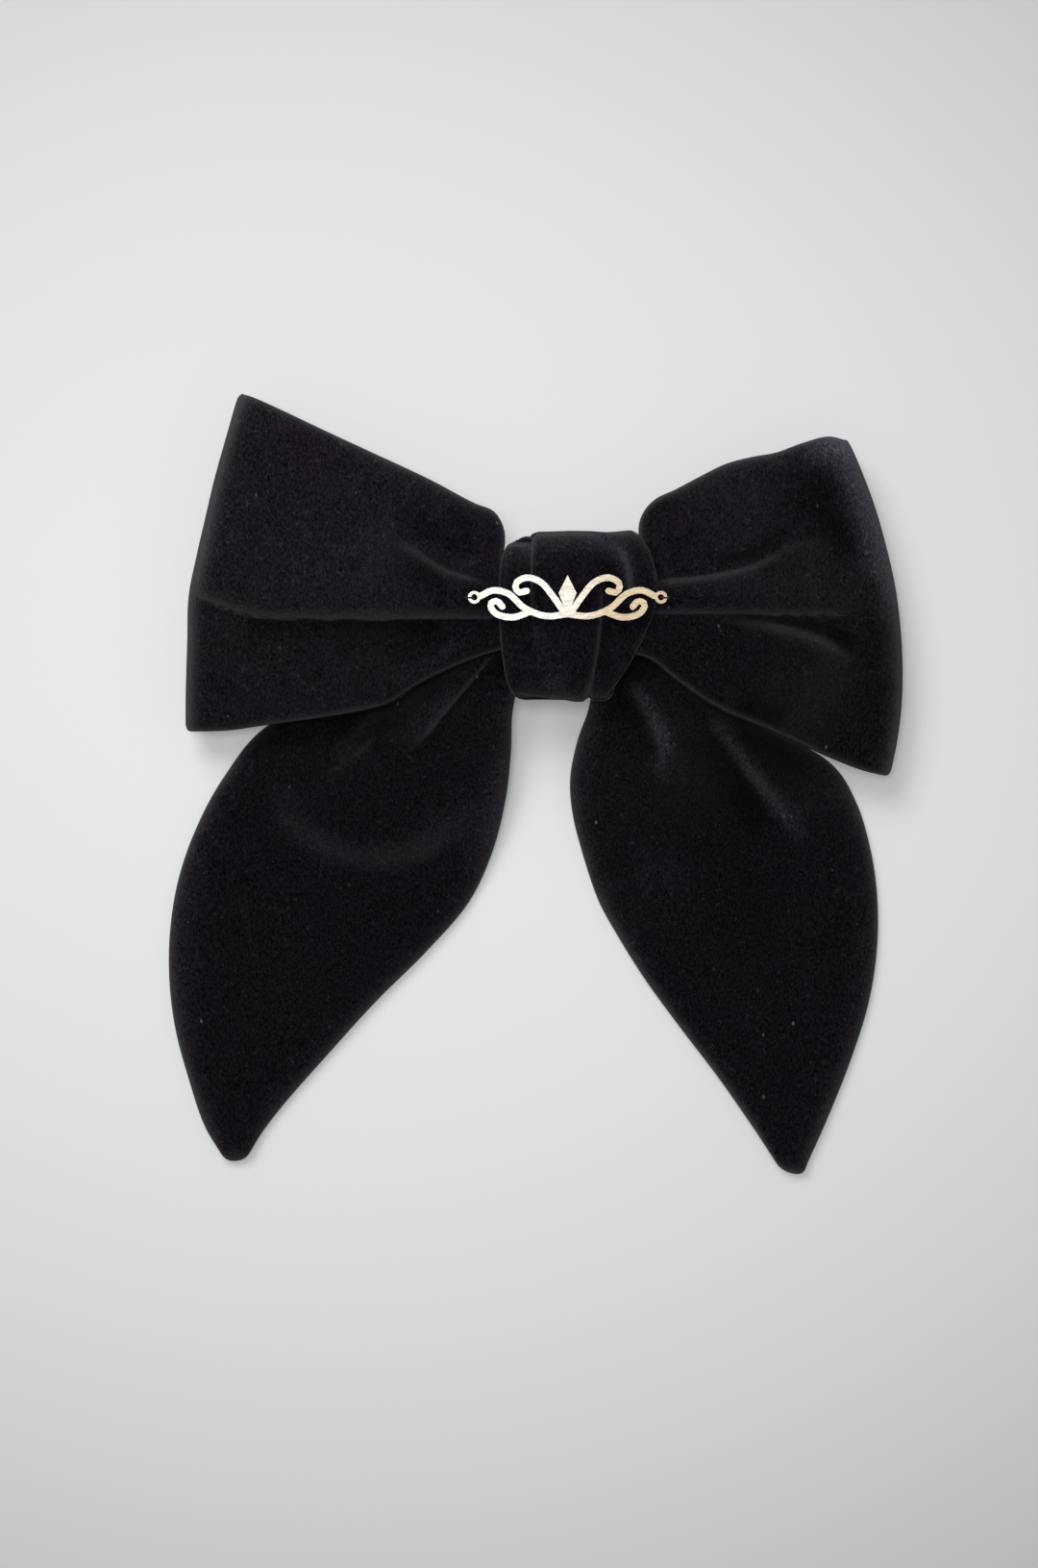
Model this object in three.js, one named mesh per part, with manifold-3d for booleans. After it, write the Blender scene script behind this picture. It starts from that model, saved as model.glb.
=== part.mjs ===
// A velvet hair bow on a spring barrette, lying face up. Millimetres.
// +X is the bow's right, +Y its top, +Z its front. z = 0 is the underside of the barrette's arm.
import * as THREE from "three";
import { mergeVertices } from "three/addons/utils/BufferGeometryUtils.js";
import Module from "manifold-3d";

const wasm = await Module();
wasm.setup();

// Heights of the layers, from the barrette up
const ARM_TOP = 1.0;
const SPRING_LOW = 5.8;
const BASE_LOW = 8.0;
const BASE_TOP = 8.8;
const FELT_LOW = 9.1;
const FELT_TOP = 10.0;
const ROOT_LOW = 11.3;
const TAIL_REST = 0.15;
const BAND_MIDDLE = 21.3;
const WAIST_MIDDLE = 21.1;
const PLATE_LOW = 28.4;

// Cloth
const VELVET = 0.7;
const INTERLINING = 0.3;
const LOOP_LAYER = 0.8;
const TAIL_PANEL = 0.8;
const TAIL_LAYER = 1.2;
const TAIL_INTERLINING = 0.4;
const TAIL_GRID = [26, 4];

// Loops: the front and back walls part from the waist and meet again at the outer fold
const WAIST_HALF = 2.3;
const FRONT_HALF = [5.0, 6.5];
const BACK_HALF = [4.5, 6.0];
const WAIST_UNTIL = 0.15;
const OPENS_FROM = 0.14;
const WIDEST_AT = 0.5;
const ROUND_REACH = 1.2;
const STRIP_GAP = 0.003;
const STRIP_GRID = [56, 6];
const CLOSER_AT_FOLD = 1.8;
const LEFT_LOOP = {
  top: [[0, 9], [-9, 9.6], [-16.0, 11.2], [-18.6, 14.6], [-18.8, 20.4], [-20.6, 24.6], [-24.5, 26.4],
    [-35.7, 32.4], [-47.6, 38.1], [-59.6, 43.8], [-71.8, 49.7], [-79.8, 53.3]],
  bottom: [[0, -7.5], [-9, -7.6], [-18.4, -8.2], [-26, -10.6], [-33, -13.6], [-39, -16.8], [-43.5, -19.9],
    [-48, -21.6], [-60, -23.8], [-75.9, -25.9], [-84, -27.0], [-92.8, -27.3]],
  fold: [[-92.8, -27.3], [-92.7, -18], [-92.3, -6], [-91.9, 5], [-90.0, 14.5], [-88.0, 23], [-85.6, 33],
    [-82.6, 43.5], [-79.8, 53.3]],
  foldHeight: [8.2, 12],
  roundFrom: [[0, 0.955], [1, 0.955]],
};
const RIGHT_LOOP = {
  top: [[0, 9], [9, 9.6], [14.5, 12], [17.2, 16.0], [16.4, 20.4], [16.8, 24.4], [18.9, 27.4], [23.2, 29.6],
    [29.3, 32.9], [35.3, 35.9], [41.3, 37.6], [47.3, 38.8], [53.5, 41.1], [59.7, 42.8], [63.9, 42.2]],
  bottom: [[0, -7.5], [9, -8.2], [17.5, -10.4], [23, -14.6], [33.4, -21.6], [46, -26.9], [62.1, -34.0],
    [69, -36.6], [74.2, -37.9]],
  fold: [[74.2, -37.9], [75.8, -30], [76.9, -21], [77.1, -12], [76.5, -2], [75.2, 7.5], [73.0, 17],
    [70.4, 26], [66.8, 35.5], [63.9, 42.2]],
  foldHeight: [8.2, 12],
  roundFrom: [[0, 0.95], [0.45, 0.93], [0.72, 0.89], [1, 0.80]],
};

// Knot band: a ring round the waist, narrower at the bottom of the bow, with three pleats in front
const BAND = 1.0;
const BAND_HALF_HEIGHT = 19.9;
const BAND_CENTRE_Y = 0.4;
const BAND_HALF_DEPTH = 5.4;
const BAND_SQUARENESS_Y = 0.55;
const BAND_SQUARENESS_Z = 0.7;
const BAND_GAP = 0.008;
const BAND_LEFT = [-16.6, -18.9, -18.0];
const BAND_RIGHT = [3.0, 19.3, 13.5];
const BAND_BACK_HALF = 9;
const PLEATS = [[-18.9, -10.6], [-10.6, 9.2], [9.2, 19.3]];
const PLEAT_RISE = 0.9;

// Tails: flat on the table away from the knot, rising to their gathered roots behind it
const RISE_FROM = 70;
const RISE_TO = 10;
const LEFT_TAIL = {
  pivot: [-11, 0],
  inner: [[-6.5, 7], [-8, -3], [-13.2, -14], [-15.3, -22.5], [-15.7, -32], [-16.9, -43], [-20.2, -56.2],
    [-25.9, -68.4], [-36.3, -80.5], [-48.5, -92.6], [-59.7, -104.9], [-70.4, -117.0], [-75.2, -123.1],
    [-80.2, -130.2]],
  outer: [[-15.5, 7], [-16, -1], [-30, -10.5], [-52, -17.5], [-75.0, -26.0], [-85.4, -38.4], [-91.8, -50.2],
    [-96.1, -62.3], [-98.2, -74.4], [-98.5, -86.6], [-97.1, -98.7], [-93.9, -110.9], [-89.7, -123.1],
    [-84.6, -131.2]],
};
const RIGHT_TAIL = {
  pivot: [8, 0],
  inner: [[3.5, 7], [4, -3], [4.0, -14], [2.8, -22], [0.2, -29.5], [-1.5, -38.5], [-1.0, -46.5], [1.4, -56.2],
    [5.5, -68.3], [9.0, -74.8], [16.3, -86.6], [25.1, -98.7], [34.4, -110.9], [42.9, -123.1], [49.8, -133.4]],
  outer: [[12.5, 7], [13, -1], [24, -12], [42, -24], [62.0, -35.2], [67.7, -44], [71.4, -56.2], [73.0, -68.3],
    [72.8, -80.5], [70.9, -92.6], [67.2, -104.8], [62.5, -117], [57.2, -129.1], [54.2, -134.6]],
};
const ROOT_HALF = 4.5;
const ROOT_THREAD_REACH = 0.84;
const ROOT_THREAD_Y = 3.2;

// Thread
const THREAD = 0.35;
const FINE_THREAD = 0.22;
const THREAD_CLEAR = 0.3;
const GATHER_HALF_HEIGHT = 12;
const WINDING_SPOTS = 12;
const WINDING_SQUARENESS = 0.5;

// Gold plate
const PLATE_CENTRE = [-2.4, 3.9];
const PLATE = 0.9;
const STROKE = 1.5;
const STROKE_STEPS = 22;
const STROKE_END_STEPS = 5;
const EYE_AT = 21.9;
const EYE_OUTER = 1.5;
const EYE_HOLE = 0.75;
const EYE_SIDES = 12;
const PLATE_STITCH_HALF_DEPTH = 1.1;
const PLATE_STITCH_RISE = 0.2;

// Barrette
const BASE_HALF_LENGTH = 40.5;
const BASE_HALF_WIDTH = 4;
const HINGE_X = -38;
const HINGE_Z = 4.5;
const PIN_RADIUS = 0.6;
const PIN_HOLE = 0.9;
const BARREL_RADIUS = 1.5;
const BARREL_HALF = 2.8;
const LUG = 0.8;
const ARM = 1.0;
const ARM_HALF_WIDTH = 3.0;
const ARM_END_HALF_WIDTH = 4.3;
const ARM_END_FROM = 33.2;
const WINDOW = { from: 34.3, to: 38.7, halfWidth: 3.1 };
const WING = { from: 35.0, length: 3.0 };
const SPRING = 0.5;
const SPRING_HALF_LENGTH = 28;
const SPRING_HALF_WIDTH = 2.6;
const SPRING_STEPS = 12;
const RIVET_X = -25;
const RIVET_RADIUS = 0.9;
const RIVET_HOLE = 1.25;
const RIVET_HEAD = 1.9;
const RIVET_HEAD_DEPTH = 0.7;
const RIVET_CHAMFER = 0.4;
const STITCH_X = 31;
const STITCH_Z = 9.3;
const STITCH_HALF_DEPTH = 2.0;
const STITCH_OVERHANG = 0.8;

// Felt backing
const FELT_HALF_WIDTH = 8.5;
const FELT_STRAIGHT = 11.5;

const bow = new THREE.Group();
bow.name = "hair_bow";

// Materials
function material(colour, roughness, metalness = 0) {
  return new THREE.MeshStandardMaterial({ color: colour, roughness, metalness });
}
const velvet = material(0x121014, 0.95);
const interlining = material(0x8c8a86, 0.9);
const wadding = material(0xe4e0d8, 1.0);
const felt = material(0x1b1a1c, 1.0);
const thread = material(0x161518, 0.8);
const gold = material(0xe3cfa6, 0.28, 1.0);
const steel = material(0xb9bcc0, 0.32, 1.0);

function add(name, geometry, look) {
  const mesh = new THREE.Mesh(geometry, look.clone());
  mesh.name = name;
  bow.add(mesh);
}

// Shape helpers
function mix(a, b, t) {
  return a + (b - a) * t;
}

function ease(t) {
  const held = Math.min(1, Math.max(0, t));
  return held * held * (3 - 2 * held);
}

function roundedPower(value, power) {
  return Math.sign(value) * Math.abs(value) ** power;
}

function curve(points) {
  return new THREE.CatmullRomCurve3(points.map(([x, y]) => new THREE.Vector3(x, y, 0)));
}

// The surface point at (u, v) of the patch between four curves: bottom and top run along u
function patch(edges, u, v) {
  const corner = (a, b) => new THREE.Vector3().lerpVectors(a, b, u);
  const bottom = edges.bottom.getPointAt(u);
  const top = edges.top.getPointAt(u);
  const start = new THREE.Vector3().lerpVectors(edges.bottom.getPoint(0), edges.top.getPoint(0), v);
  const end = edges.end.getPointAt(v);
  const ruled = new THREE.Vector3().lerpVectors(bottom, top, v);
  const across = new THREE.Vector3().lerpVectors(start, end, u);
  const flat = new THREE.Vector3().lerpVectors(
    corner(edges.bottom.getPoint(0), edges.bottom.getPoint(1)),
    corner(edges.top.getPoint(0), edges.top.getPoint(1)),
    v,
  );
  return ruled.add(across).sub(flat);
}

function bare(geometry) {
  geometry.deleteAttribute("normal");
  geometry.deleteAttribute("uv");
  return mergeVertices(geometry, 1e-4);
}

function volume(geometry) {
  const at = (i) => new THREE.Vector3().fromBufferAttribute(geometry.attributes.position, i);
  const index = geometry.index.array;
  let six = 0;
  for (let i = 0; i < index.length; i += 3) {
    six += at(index[i]).dot(at(index[i + 1]).cross(at(index[i + 2])));
  }
  return six / 6;
}

function facingOut(geometry) {
  const index = geometry.index.array;
  if (volume(geometry) < 0) {
    for (let i = 0; i < index.length; i += 3) {
      [index[i], index[i + 1]] = [index[i + 1], index[i]];
    }
  }
  geometry.computeVertexNormals();
  return geometry;
}

// A closed sheet: place(u, v, w) gives the point at u, v across the sheet and w through it.
// Both faces are split along the same diagonals, so that layers with one grid lie parallel.
function sheet(along, across, place) {
  const points = [];
  for (const w of [0, 1]) {
    for (let i = 0; i <= along; i++) {
      for (let j = 0; j <= across; j++) {
        const point = place(i / along, j / across, w);
        points.push(point.x, point.y, point.z);
      }
    }
  }
  const at = (i, j, w) => (w * (along + 1) + i) * (across + 1) + j;
  const faces = [];
  const quad = (a, b, c, d) => faces.push(a, b, c, a, c, d);
  for (let i = 0; i < along; i++) {
    for (let j = 0; j < across; j++) {
      quad(at(i, j, 1), at(i + 1, j, 1), at(i + 1, j + 1, 1), at(i, j + 1, 1));
      faces.push(at(i, j, 0), at(i + 1, j + 1, 0), at(i + 1, j, 0));
      faces.push(at(i, j, 0), at(i, j + 1, 0), at(i + 1, j + 1, 0));
    }
    quad(at(i, 0, 0), at(i + 1, 0, 0), at(i + 1, 0, 1), at(i, 0, 1));
    quad(at(i + 1, across, 0), at(i, across, 0), at(i, across, 1), at(i + 1, across, 1));
  }
  for (let j = 0; j < across; j++) {
    quad(at(0, j + 1, 0), at(0, j, 0), at(0, j, 1), at(0, j + 1, 1));
    quad(at(along, j, 0), at(along, j + 1, 0), at(along, j + 1, 1), at(along, j, 1));
  }
  const geometry = new THREE.BufferGeometry();
  geometry.setAttribute("position", new THREE.Float32BufferAttribute(points, 3));
  geometry.setIndex(faces);
  return facingOut(geometry);
}

// The unit normal of surface(u, v), by small steps
function normalOf(surface, u, v) {
  const step = 1e-3;
  const along = surface(Math.min(1, u + step), v).sub(surface(Math.max(0, u - step), v));
  const across = surface(u, Math.min(1, v + step)).sub(surface(u, Math.max(0, v - step)));
  return along.cross(across).normalize();
}

function clothOn(surface, along, across, low, high) {
  return sheet(along, across, (u, v, w) => {
    const lift = mix(low, high, w);
    return surface(u, v).addScaledVector(normalOf(surface, u, v), lift);
  });
}

function closedThread(points, radius) {
  const path = new THREE.CatmullRomCurve3(points, true);
  return facingOut(bare(new THREE.TubeGeometry(path, 18, radius, 4, true)));
}

// A rounded rectangle of thread: centre, and half sizes along two directions
function winding(centre, first, second, radius) {
  const spots = [];
  for (let i = 0; i < WINDING_SPOTS; i++) {
    const turn = (2 * Math.PI * i) / WINDING_SPOTS;
    const a = roundedPower(Math.cos(turn), WINDING_SQUARENESS);
    const b = roundedPower(Math.sin(turn), WINDING_SQUARENESS);
    spots.push(centre.clone().addScaledVector(first, a).addScaledVector(second, b));
  }
  return closedThread(spots, radius);
}

// Solids joined and cut
function solid(geometry) {
  const merged = facingOut(bare(geometry.clone()));
  return new wasm.Manifold(
    new wasm.Mesh({
      numProp: 3,
      vertProperties: merged.attributes.position.array,
      triVerts: new Uint32Array(merged.index.array),
    }),
  );
}

function geometryOf(made) {
  const mesh = made.getMesh();
  const geometry = new THREE.BufferGeometry();
  geometry.setAttribute("position", new THREE.BufferAttribute(mesh.vertProperties, 3));
  geometry.setIndex(new THREE.BufferAttribute(mesh.triVerts, 1));
  geometry.computeVertexNormals();
  return geometry;
}

function box(x, y, z, lengthX, lengthY, lengthZ) {
  return new THREE.BoxGeometry(lengthX, lengthY, lengthZ).translate(x, y, z);
}

function upright(x, radius, low, high, sides) {
  return new THREE.CylinderGeometry(radius, radius, high - low, sides)
    .rotateX(Math.PI / 2)
    .translate(x, 0, (low + high) / 2);
}

function acrossRod(x, z, radius, length, sides) {
  return new THREE.CylinderGeometry(radius, radius, length, sides).translate(x, 0, z);
}

// Half a circle of points round a stroke's end, from its left side to its right; way points out of the end
function roundEnd(at, way, radius) {
  const points = [];
  for (let i = 1; i < STROKE_END_STEPS; i++) {
    const turn = Math.PI * (0.5 - i / STROKE_END_STEPS);
    const side = new THREE.Vector3(-way.y, way.x, 0).multiplyScalar(radius * Math.sin(turn));
    points.push(at.clone().addScaledVector(way, radius * Math.cos(turn)).add(side));
  }
  return points;
}

// The outline of a stroke of even width along a flat curve, with round ends
function stroke(path, width) {
  const left = [];
  const right = [];
  for (let i = 0; i <= STROKE_STEPS; i++) {
    const at = path.getPointAt(i / STROKE_STEPS);
    const way = path.getTangentAt(i / STROKE_STEPS);
    const side = new THREE.Vector3(-way.y, way.x, 0).multiplyScalar(width / 2);
    left.push(at.clone().add(side));
    right.push(at.clone().sub(side));
  }
  const finish = roundEnd(path.getPointAt(1), path.getTangentAt(1), width / 2);
  const start = roundEnd(path.getPointAt(0), path.getTangentAt(0).negate(), width / 2);
  const outline = [...left, ...finish, ...right.reverse(), ...start];
  return new THREE.Shape(outline.map((p) => new THREE.Vector2(p.x, p.y)));
}

// The outline of a bent strip of even thickness with straight runs between its points
function bentStrip(points, thickness) {
  const at = points.map(([x, y]) => new THREE.Vector2(x, y));
  const sideAt = (i) => {
    const before = at[i].clone().sub(at[Math.max(0, i - 1)]).normalize();
    const after = at[Math.min(at.length - 1, i + 1)].clone().sub(at[i]).normalize();
    const way = before.add(after).normalize();
    const lean = i > 0 ? way.dot(at[i].clone().sub(at[i - 1]).normalize()) : 1;
    return new THREE.Vector2(-way.y, way.x).multiplyScalar(thickness / 2 / lean);
  };
  const upper = at.map((point, i) => point.clone().add(sideAt(i)));
  const lower = at.map((point, i) => point.clone().sub(sideAt(i)));
  return new THREE.Shape([...upper, ...lower.reverse()]);
}

function extruded(shape, depth, curveSegments = 6) {
  return new THREE.ExtrudeGeometry(shape, { depth, bevelEnabled: false, curveSegments });
}

// Loops
function loopEdges(loop) {
  return {
    top: curve(loop.top),
    bottom: curve(loop.bottom),
    end: curve(loop.fold),
    foldHeight: loop.foldHeight,
    roundFrom: loop.roundFrom,
  };
}

// The value at x on the straight runs between the points of a table
function tableValue(points, x) {
  const next = points.findIndex(([from]) => from >= x);
  if (next <= 0) {
    return points[0][1];
  }
  const [[a, low], [b, high]] = [points[next - 1], points[next]];
  return mix(low, high, (x - a) / (b - a));
}

// way runs from -1 (back wall at the waist) through 0 (outer fold) to 1 (front wall at the waist)
function loopPoint(edges, way, v) {
  const far = Math.abs(way);
  const halves = way > 0 ? FRONT_HALF : BACK_HALF;
  const most = mix(halves[0], halves[1], v);
  const roundFrom = tableValue(edges.roundFrom, v);
  const roundShare = ROUND_REACH * (1 - roundFrom);
  let u;
  let half;
  if (far < roundShare) {
    const turn = (far / roundShare) * (Math.PI / 2);
    u = roundFrom + (1 - roundFrom) * Math.cos(turn);
    half = most * Math.sin(turn);
  } else {
    u = (roundFrom * (1 - far)) / (1 - roundShare);
    half = mix(WAIST_HALF, most, ease((u - OPENS_FROM) / (WIDEST_AT - OPENS_FROM)));
  }
  const point = patch(edges, u, v);
  const fold = mix(edges.foldHeight[0], edges.foldHeight[1], v);
  const drop = ease((u - WAIST_UNTIL) / (1 - WAIST_UNTIL));
  point.z = mix(WAIST_MIDDLE, fold, drop) + Math.sign(way) * half;
  return point;
}

const leftLoop = loopEdges(LEFT_LOOP);
const rightLoop = loopEdges(RIGHT_LOOP);

// The whole strip: back of the left loop, its fold, its front, then the right loop's front, fold and back
function stripPoint(u, v) {
  const along = mix(STRIP_GAP, 1 - STRIP_GAP, u);
  const way = along < 0.5 ? 4 * along - 1 : 3 - 4 * along;
  return loopPoint(along < 0.5 ? leftLoop : rightLoop, roundedPower(way, CLOSER_AT_FOLD), v);
}

function addLoops() {
  const outer = [LOOP_LAYER - VELVET / 2, LOOP_LAYER + VELVET / 2];
  const middle = INTERLINING / 2;
  const [along, across] = STRIP_GRID;
  add("loop_outer_velvet", clothOn(stripPoint, along, across, outer[0], outer[1]), velvet);
  add("loop_interlining", clothOn(stripPoint, along, across, -middle, middle), interlining);
  add("loop_inner_velvet", clothOn(stripPoint, along, across, -outer[1], -outer[0]), velvet);
}

// Knot
function threePoint(values, t) {
  return t < 0.5 ? mix(values[0], values[1], ease(2 * t)) : mix(values[1], values[2], ease(2 * t - 1));
}

function pleatRise(x) {
  const pleat = PLEATS.find(([from, to]) => x >= from && x <= to);
  if (!pleat) {
    return 0;
  }
  const centre = (pleat[0] + pleat[1]) / 2;
  const half = (pleat[1] - pleat[0]) / 2;
  return PLEAT_RISE * (1 - ((x - centre) / half) ** 2);
}

// u goes round the waist from the middle of the back, v across the band
function bandPoint(u, v) {
  const turn = 2 * Math.PI * mix(BAND_GAP, 1 - BAND_GAP, u);
  const sideways = roundedPower(Math.sin(turn), BAND_SQUARENESS_Y);
  const forward = roundedPower(-Math.cos(turn), BAND_SQUARENESS_Z);
  const inFront = ease((forward + 1) / 2);
  const height = (sideways + 1) / 2;
  const left = mix(-BAND_BACK_HALF, threePoint(BAND_LEFT, height), inFront);
  const right = mix(BAND_BACK_HALF, threePoint(BAND_RIGHT, height), inFront);
  const x = mix(left, right, v);
  const rise = pleatRise(mix(BAND_LEFT[1], BAND_RIGHT[1], v)) * ease(2 * forward);
  const y = BAND_CENTRE_Y + BAND_HALF_HEIGHT * sideways;
  return new THREE.Vector3(x, y, BAND_MIDDLE + BAND_HALF_DEPTH * forward + rise);
}

function addKnot() {
  add("knot_band", clothOn(bandPoint, 24, 10, -BAND / 2, BAND / 2), velvet);
  const pad = new THREE.SphereGeometry(1, 14, 8).scale(11, 7.5, 0.95).translate(0, 0.7, WAIST_MIDDLE);
  add("knot_wadding", facingOut(bare(pad)), wadding);
  const halfHeight = GATHER_HALF_HEIGHT;
  const halfDepth = WAIST_HALF + LOOP_LAYER + VELVET / 2 + 2 * THREAD_CLEAR;
  const round = winding(
    new THREE.Vector3(0, 0.75, WAIST_MIDDLE),
    new THREE.Vector3(0, halfHeight, 0),
    new THREE.Vector3(0, 0, halfDepth),
    THREAD,
  );
  add("loop_gather_thread", round, thread);
}

// Tails
function tailFloor(distance) {
  return mix(ROOT_LOW, TAIL_REST, ease((distance - RISE_TO) / (RISE_FROM - RISE_TO)));
}

function tailPanel(tail, low, thickness) {
  const inner = curve(tail.inner);
  const outer = curve(tail.outer);
  return sheet(TAIL_GRID[0], TAIL_GRID[1], (u, v, w) => {
    const point = inner.getPoint(u).lerp(outer.getPoint(u), v);
    const distance = Math.hypot(point.x - tail.pivot[0], point.y - tail.pivot[1]);
    point.z = tailFloor(distance) + low + w * thickness;
    return point;
  });
}

function addTail(side, tail) {
  const front = 2 * TAIL_LAYER - TAIL_INTERLINING;
  add(side + "_tail_back", tailPanel(tail, 0, TAIL_PANEL), velvet);
  add(side + "_tail_interlining", tailPanel(tail, TAIL_LAYER, TAIL_INTERLINING), interlining);
  add(side + "_tail_front", tailPanel(tail, front, TAIL_PANEL), velvet);
  const thickness = front + TAIL_PANEL;
  const round = winding(
    new THREE.Vector3(tail.pivot[0], ROOT_THREAD_Y, ROOT_LOW + thickness / 2),
    new THREE.Vector3(ROOT_HALF + ROOT_THREAD_REACH, 0, 0),
    new THREE.Vector3(0, 0, thickness / 2 + THREAD_CLEAR + THREAD),
    THREAD,
  );
  add(side + "_tail_gather_thread", round, thread);
}

// Gold plate: mirrored scrolls on both sides of a lozenge, with an eye at each end
const SCROLLS = [
  [[0, -3.9], [5, -4.4], [10, -2.6], [14, 0.9], [17.6, 1.6], [20.4, 0.3]],
  [[0.8, -3.6], [3.4, 0.2], [6.4, 3.6], [9.8, 4.6], [12.2, 3.1], [11.6, 1.2], [9.6, 1.5]],
  [[8.6, -3.3], [13, -4.7], [17, -3.7], [18.1, -1.6], [16.6, -0.9], [15.3, -2.2]],
];
const LOZENGE = [[0, 5.2], [2.1, 1.0], [0, -4.4], [-2.1, 1.0]];

function plateStroke(points, mirror) {
  const path = curve(points.map(([x, y]) => [mirror * x, y]));
  return solid(extruded(stroke(path, STROKE), PLATE));
}

function plateEye(mirror) {
  const ring = new THREE.Shape().absarc(mirror * EYE_AT, 0, EYE_OUTER, 0, 2 * Math.PI);
  ring.holes.push(new THREE.Path().absarc(mirror * EYE_AT, 0, EYE_HOLE, 0, 2 * Math.PI));
  return solid(extruded(ring, PLATE, EYE_SIDES));
}

function addPlate() {
  const outline = new THREE.Shape(LOZENGE.map(([x, y]) => new THREE.Vector2(x, y)));
  let plate = solid(extruded(outline, PLATE));
  for (const mirror of [-1, 1]) {
    for (const points of SCROLLS) {
      plate = plate.add(plateStroke(points, mirror));
    }
    plate = plate.add(plateEye(mirror));
  }
  add("scroll_plate", geometryOf(plate).translate(PLATE_CENTRE[0], PLATE_CENTRE[1], PLATE_LOW), gold);
  for (const [name, mirror] of [["left_plate_stitch", -1], ["right_plate_stitch", 1]]) {
    const outside = (EYE_HOLE + EYE_OUTER) / 2;
    const x = PLATE_CENTRE[0] + mirror * (EYE_AT + outside);
    const round = winding(
      new THREE.Vector3(x, PLATE_CENTRE[1], PLATE_LOW + PLATE_STITCH_RISE),
      new THREE.Vector3(outside, 0, 0),
      new THREE.Vector3(0, 0, PLATE_STITCH_HALF_DEPTH),
      FINE_THREAD,
    );
    add(name, round, thread);
  }
}

// Barrette
function sideProfile(points, width, thickness) {
  return extruded(bentStrip(points, thickness), width).translate(0, 0, -width / 2).rotateX(Math.PI / 2);
}

function addBase() {
  const straight = BASE_HALF_LENGTH - BASE_HALF_WIDTH;
  const outline = new THREE.Shape();
  outline.absarc(straight, 0, BASE_HALF_WIDTH, -Math.PI / 2, Math.PI / 2);
  outline.absarc(-straight, 0, BASE_HALF_WIDTH, Math.PI / 2, (3 * Math.PI) / 2);
  let base = solid(extruded(outline, BASE_TOP - BASE_LOW).translate(0, 0, BASE_LOW));
  const lugLow = HINGE_Z - BARREL_RADIUS;
  const lugHeight = BASE_TOP - lugLow;
  for (const side of [-1, 1]) {
    const y = side * (BASE_HALF_WIDTH - LUG / 2);
    base = base.add(solid(box(HINGE_X, y, lugLow + lugHeight / 2, 2 * BARREL_RADIUS, LUG, lugHeight)));
  }
  base = base.subtract(solid(acrossRod(HINGE_X, HINGE_Z, PIN_HOLE, 3 * BASE_HALF_WIDTH, 16)));
  base = base.subtract(solid(upright(RIVET_X, RIVET_HOLE, BASE_LOW - 1, BASE_TOP + 1, 16)));
  add("barrette_base", geometryOf(base), steel);
}

function addSpring() {
  const flat = BASE_LOW - THREAD_CLEAR - SPRING / 2;
  const lowest = SPRING_LOW + SPRING / 2;
  const bowFrom = RIVET_X + 3;
  const points = [[-SPRING_HALF_LENGTH, flat]];
  for (let i = 0; i <= SPRING_STEPS; i++) {
    const share = i / SPRING_STEPS;
    const sag = Math.sin(Math.PI * share) ** 2;
    points.push([mix(bowFrom, SPRING_HALF_LENGTH - 1, share), mix(flat, lowest, sag)]);
  }
  points.push([SPRING_HALF_LENGTH, flat]);
  let spring = solid(sideProfile(points, 2 * SPRING_HALF_WIDTH, SPRING));
  spring = spring.subtract(solid(upright(RIVET_X, RIVET_HOLE, SPRING_LOW - 1, BASE_LOW, 16)));
  add("tension_spring", geometryOf(spring), steel);
  const head = BASE_LOW - SPRING - 2 * THREAD_CLEAR;
  const low = head - RIVET_HEAD_DEPTH;
  const profile = [[0, low], [RIVET_HEAD - RIVET_CHAMFER, low], [RIVET_HEAD, low + RIVET_CHAMFER],
    [RIVET_HEAD, head], [RIVET_RADIUS, head], [RIVET_RADIUS, BASE_TOP], [0, BASE_TOP]];
  const rivet = new THREE.LatheGeometry(profile.map(([x, y]) => new THREE.Vector2(x, y)), 16);
  add("spring_rivet", facingOut(bare(rivet.rotateX(Math.PI / 2).translate(RIVET_X, 0, 0))), steel);
}

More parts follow.
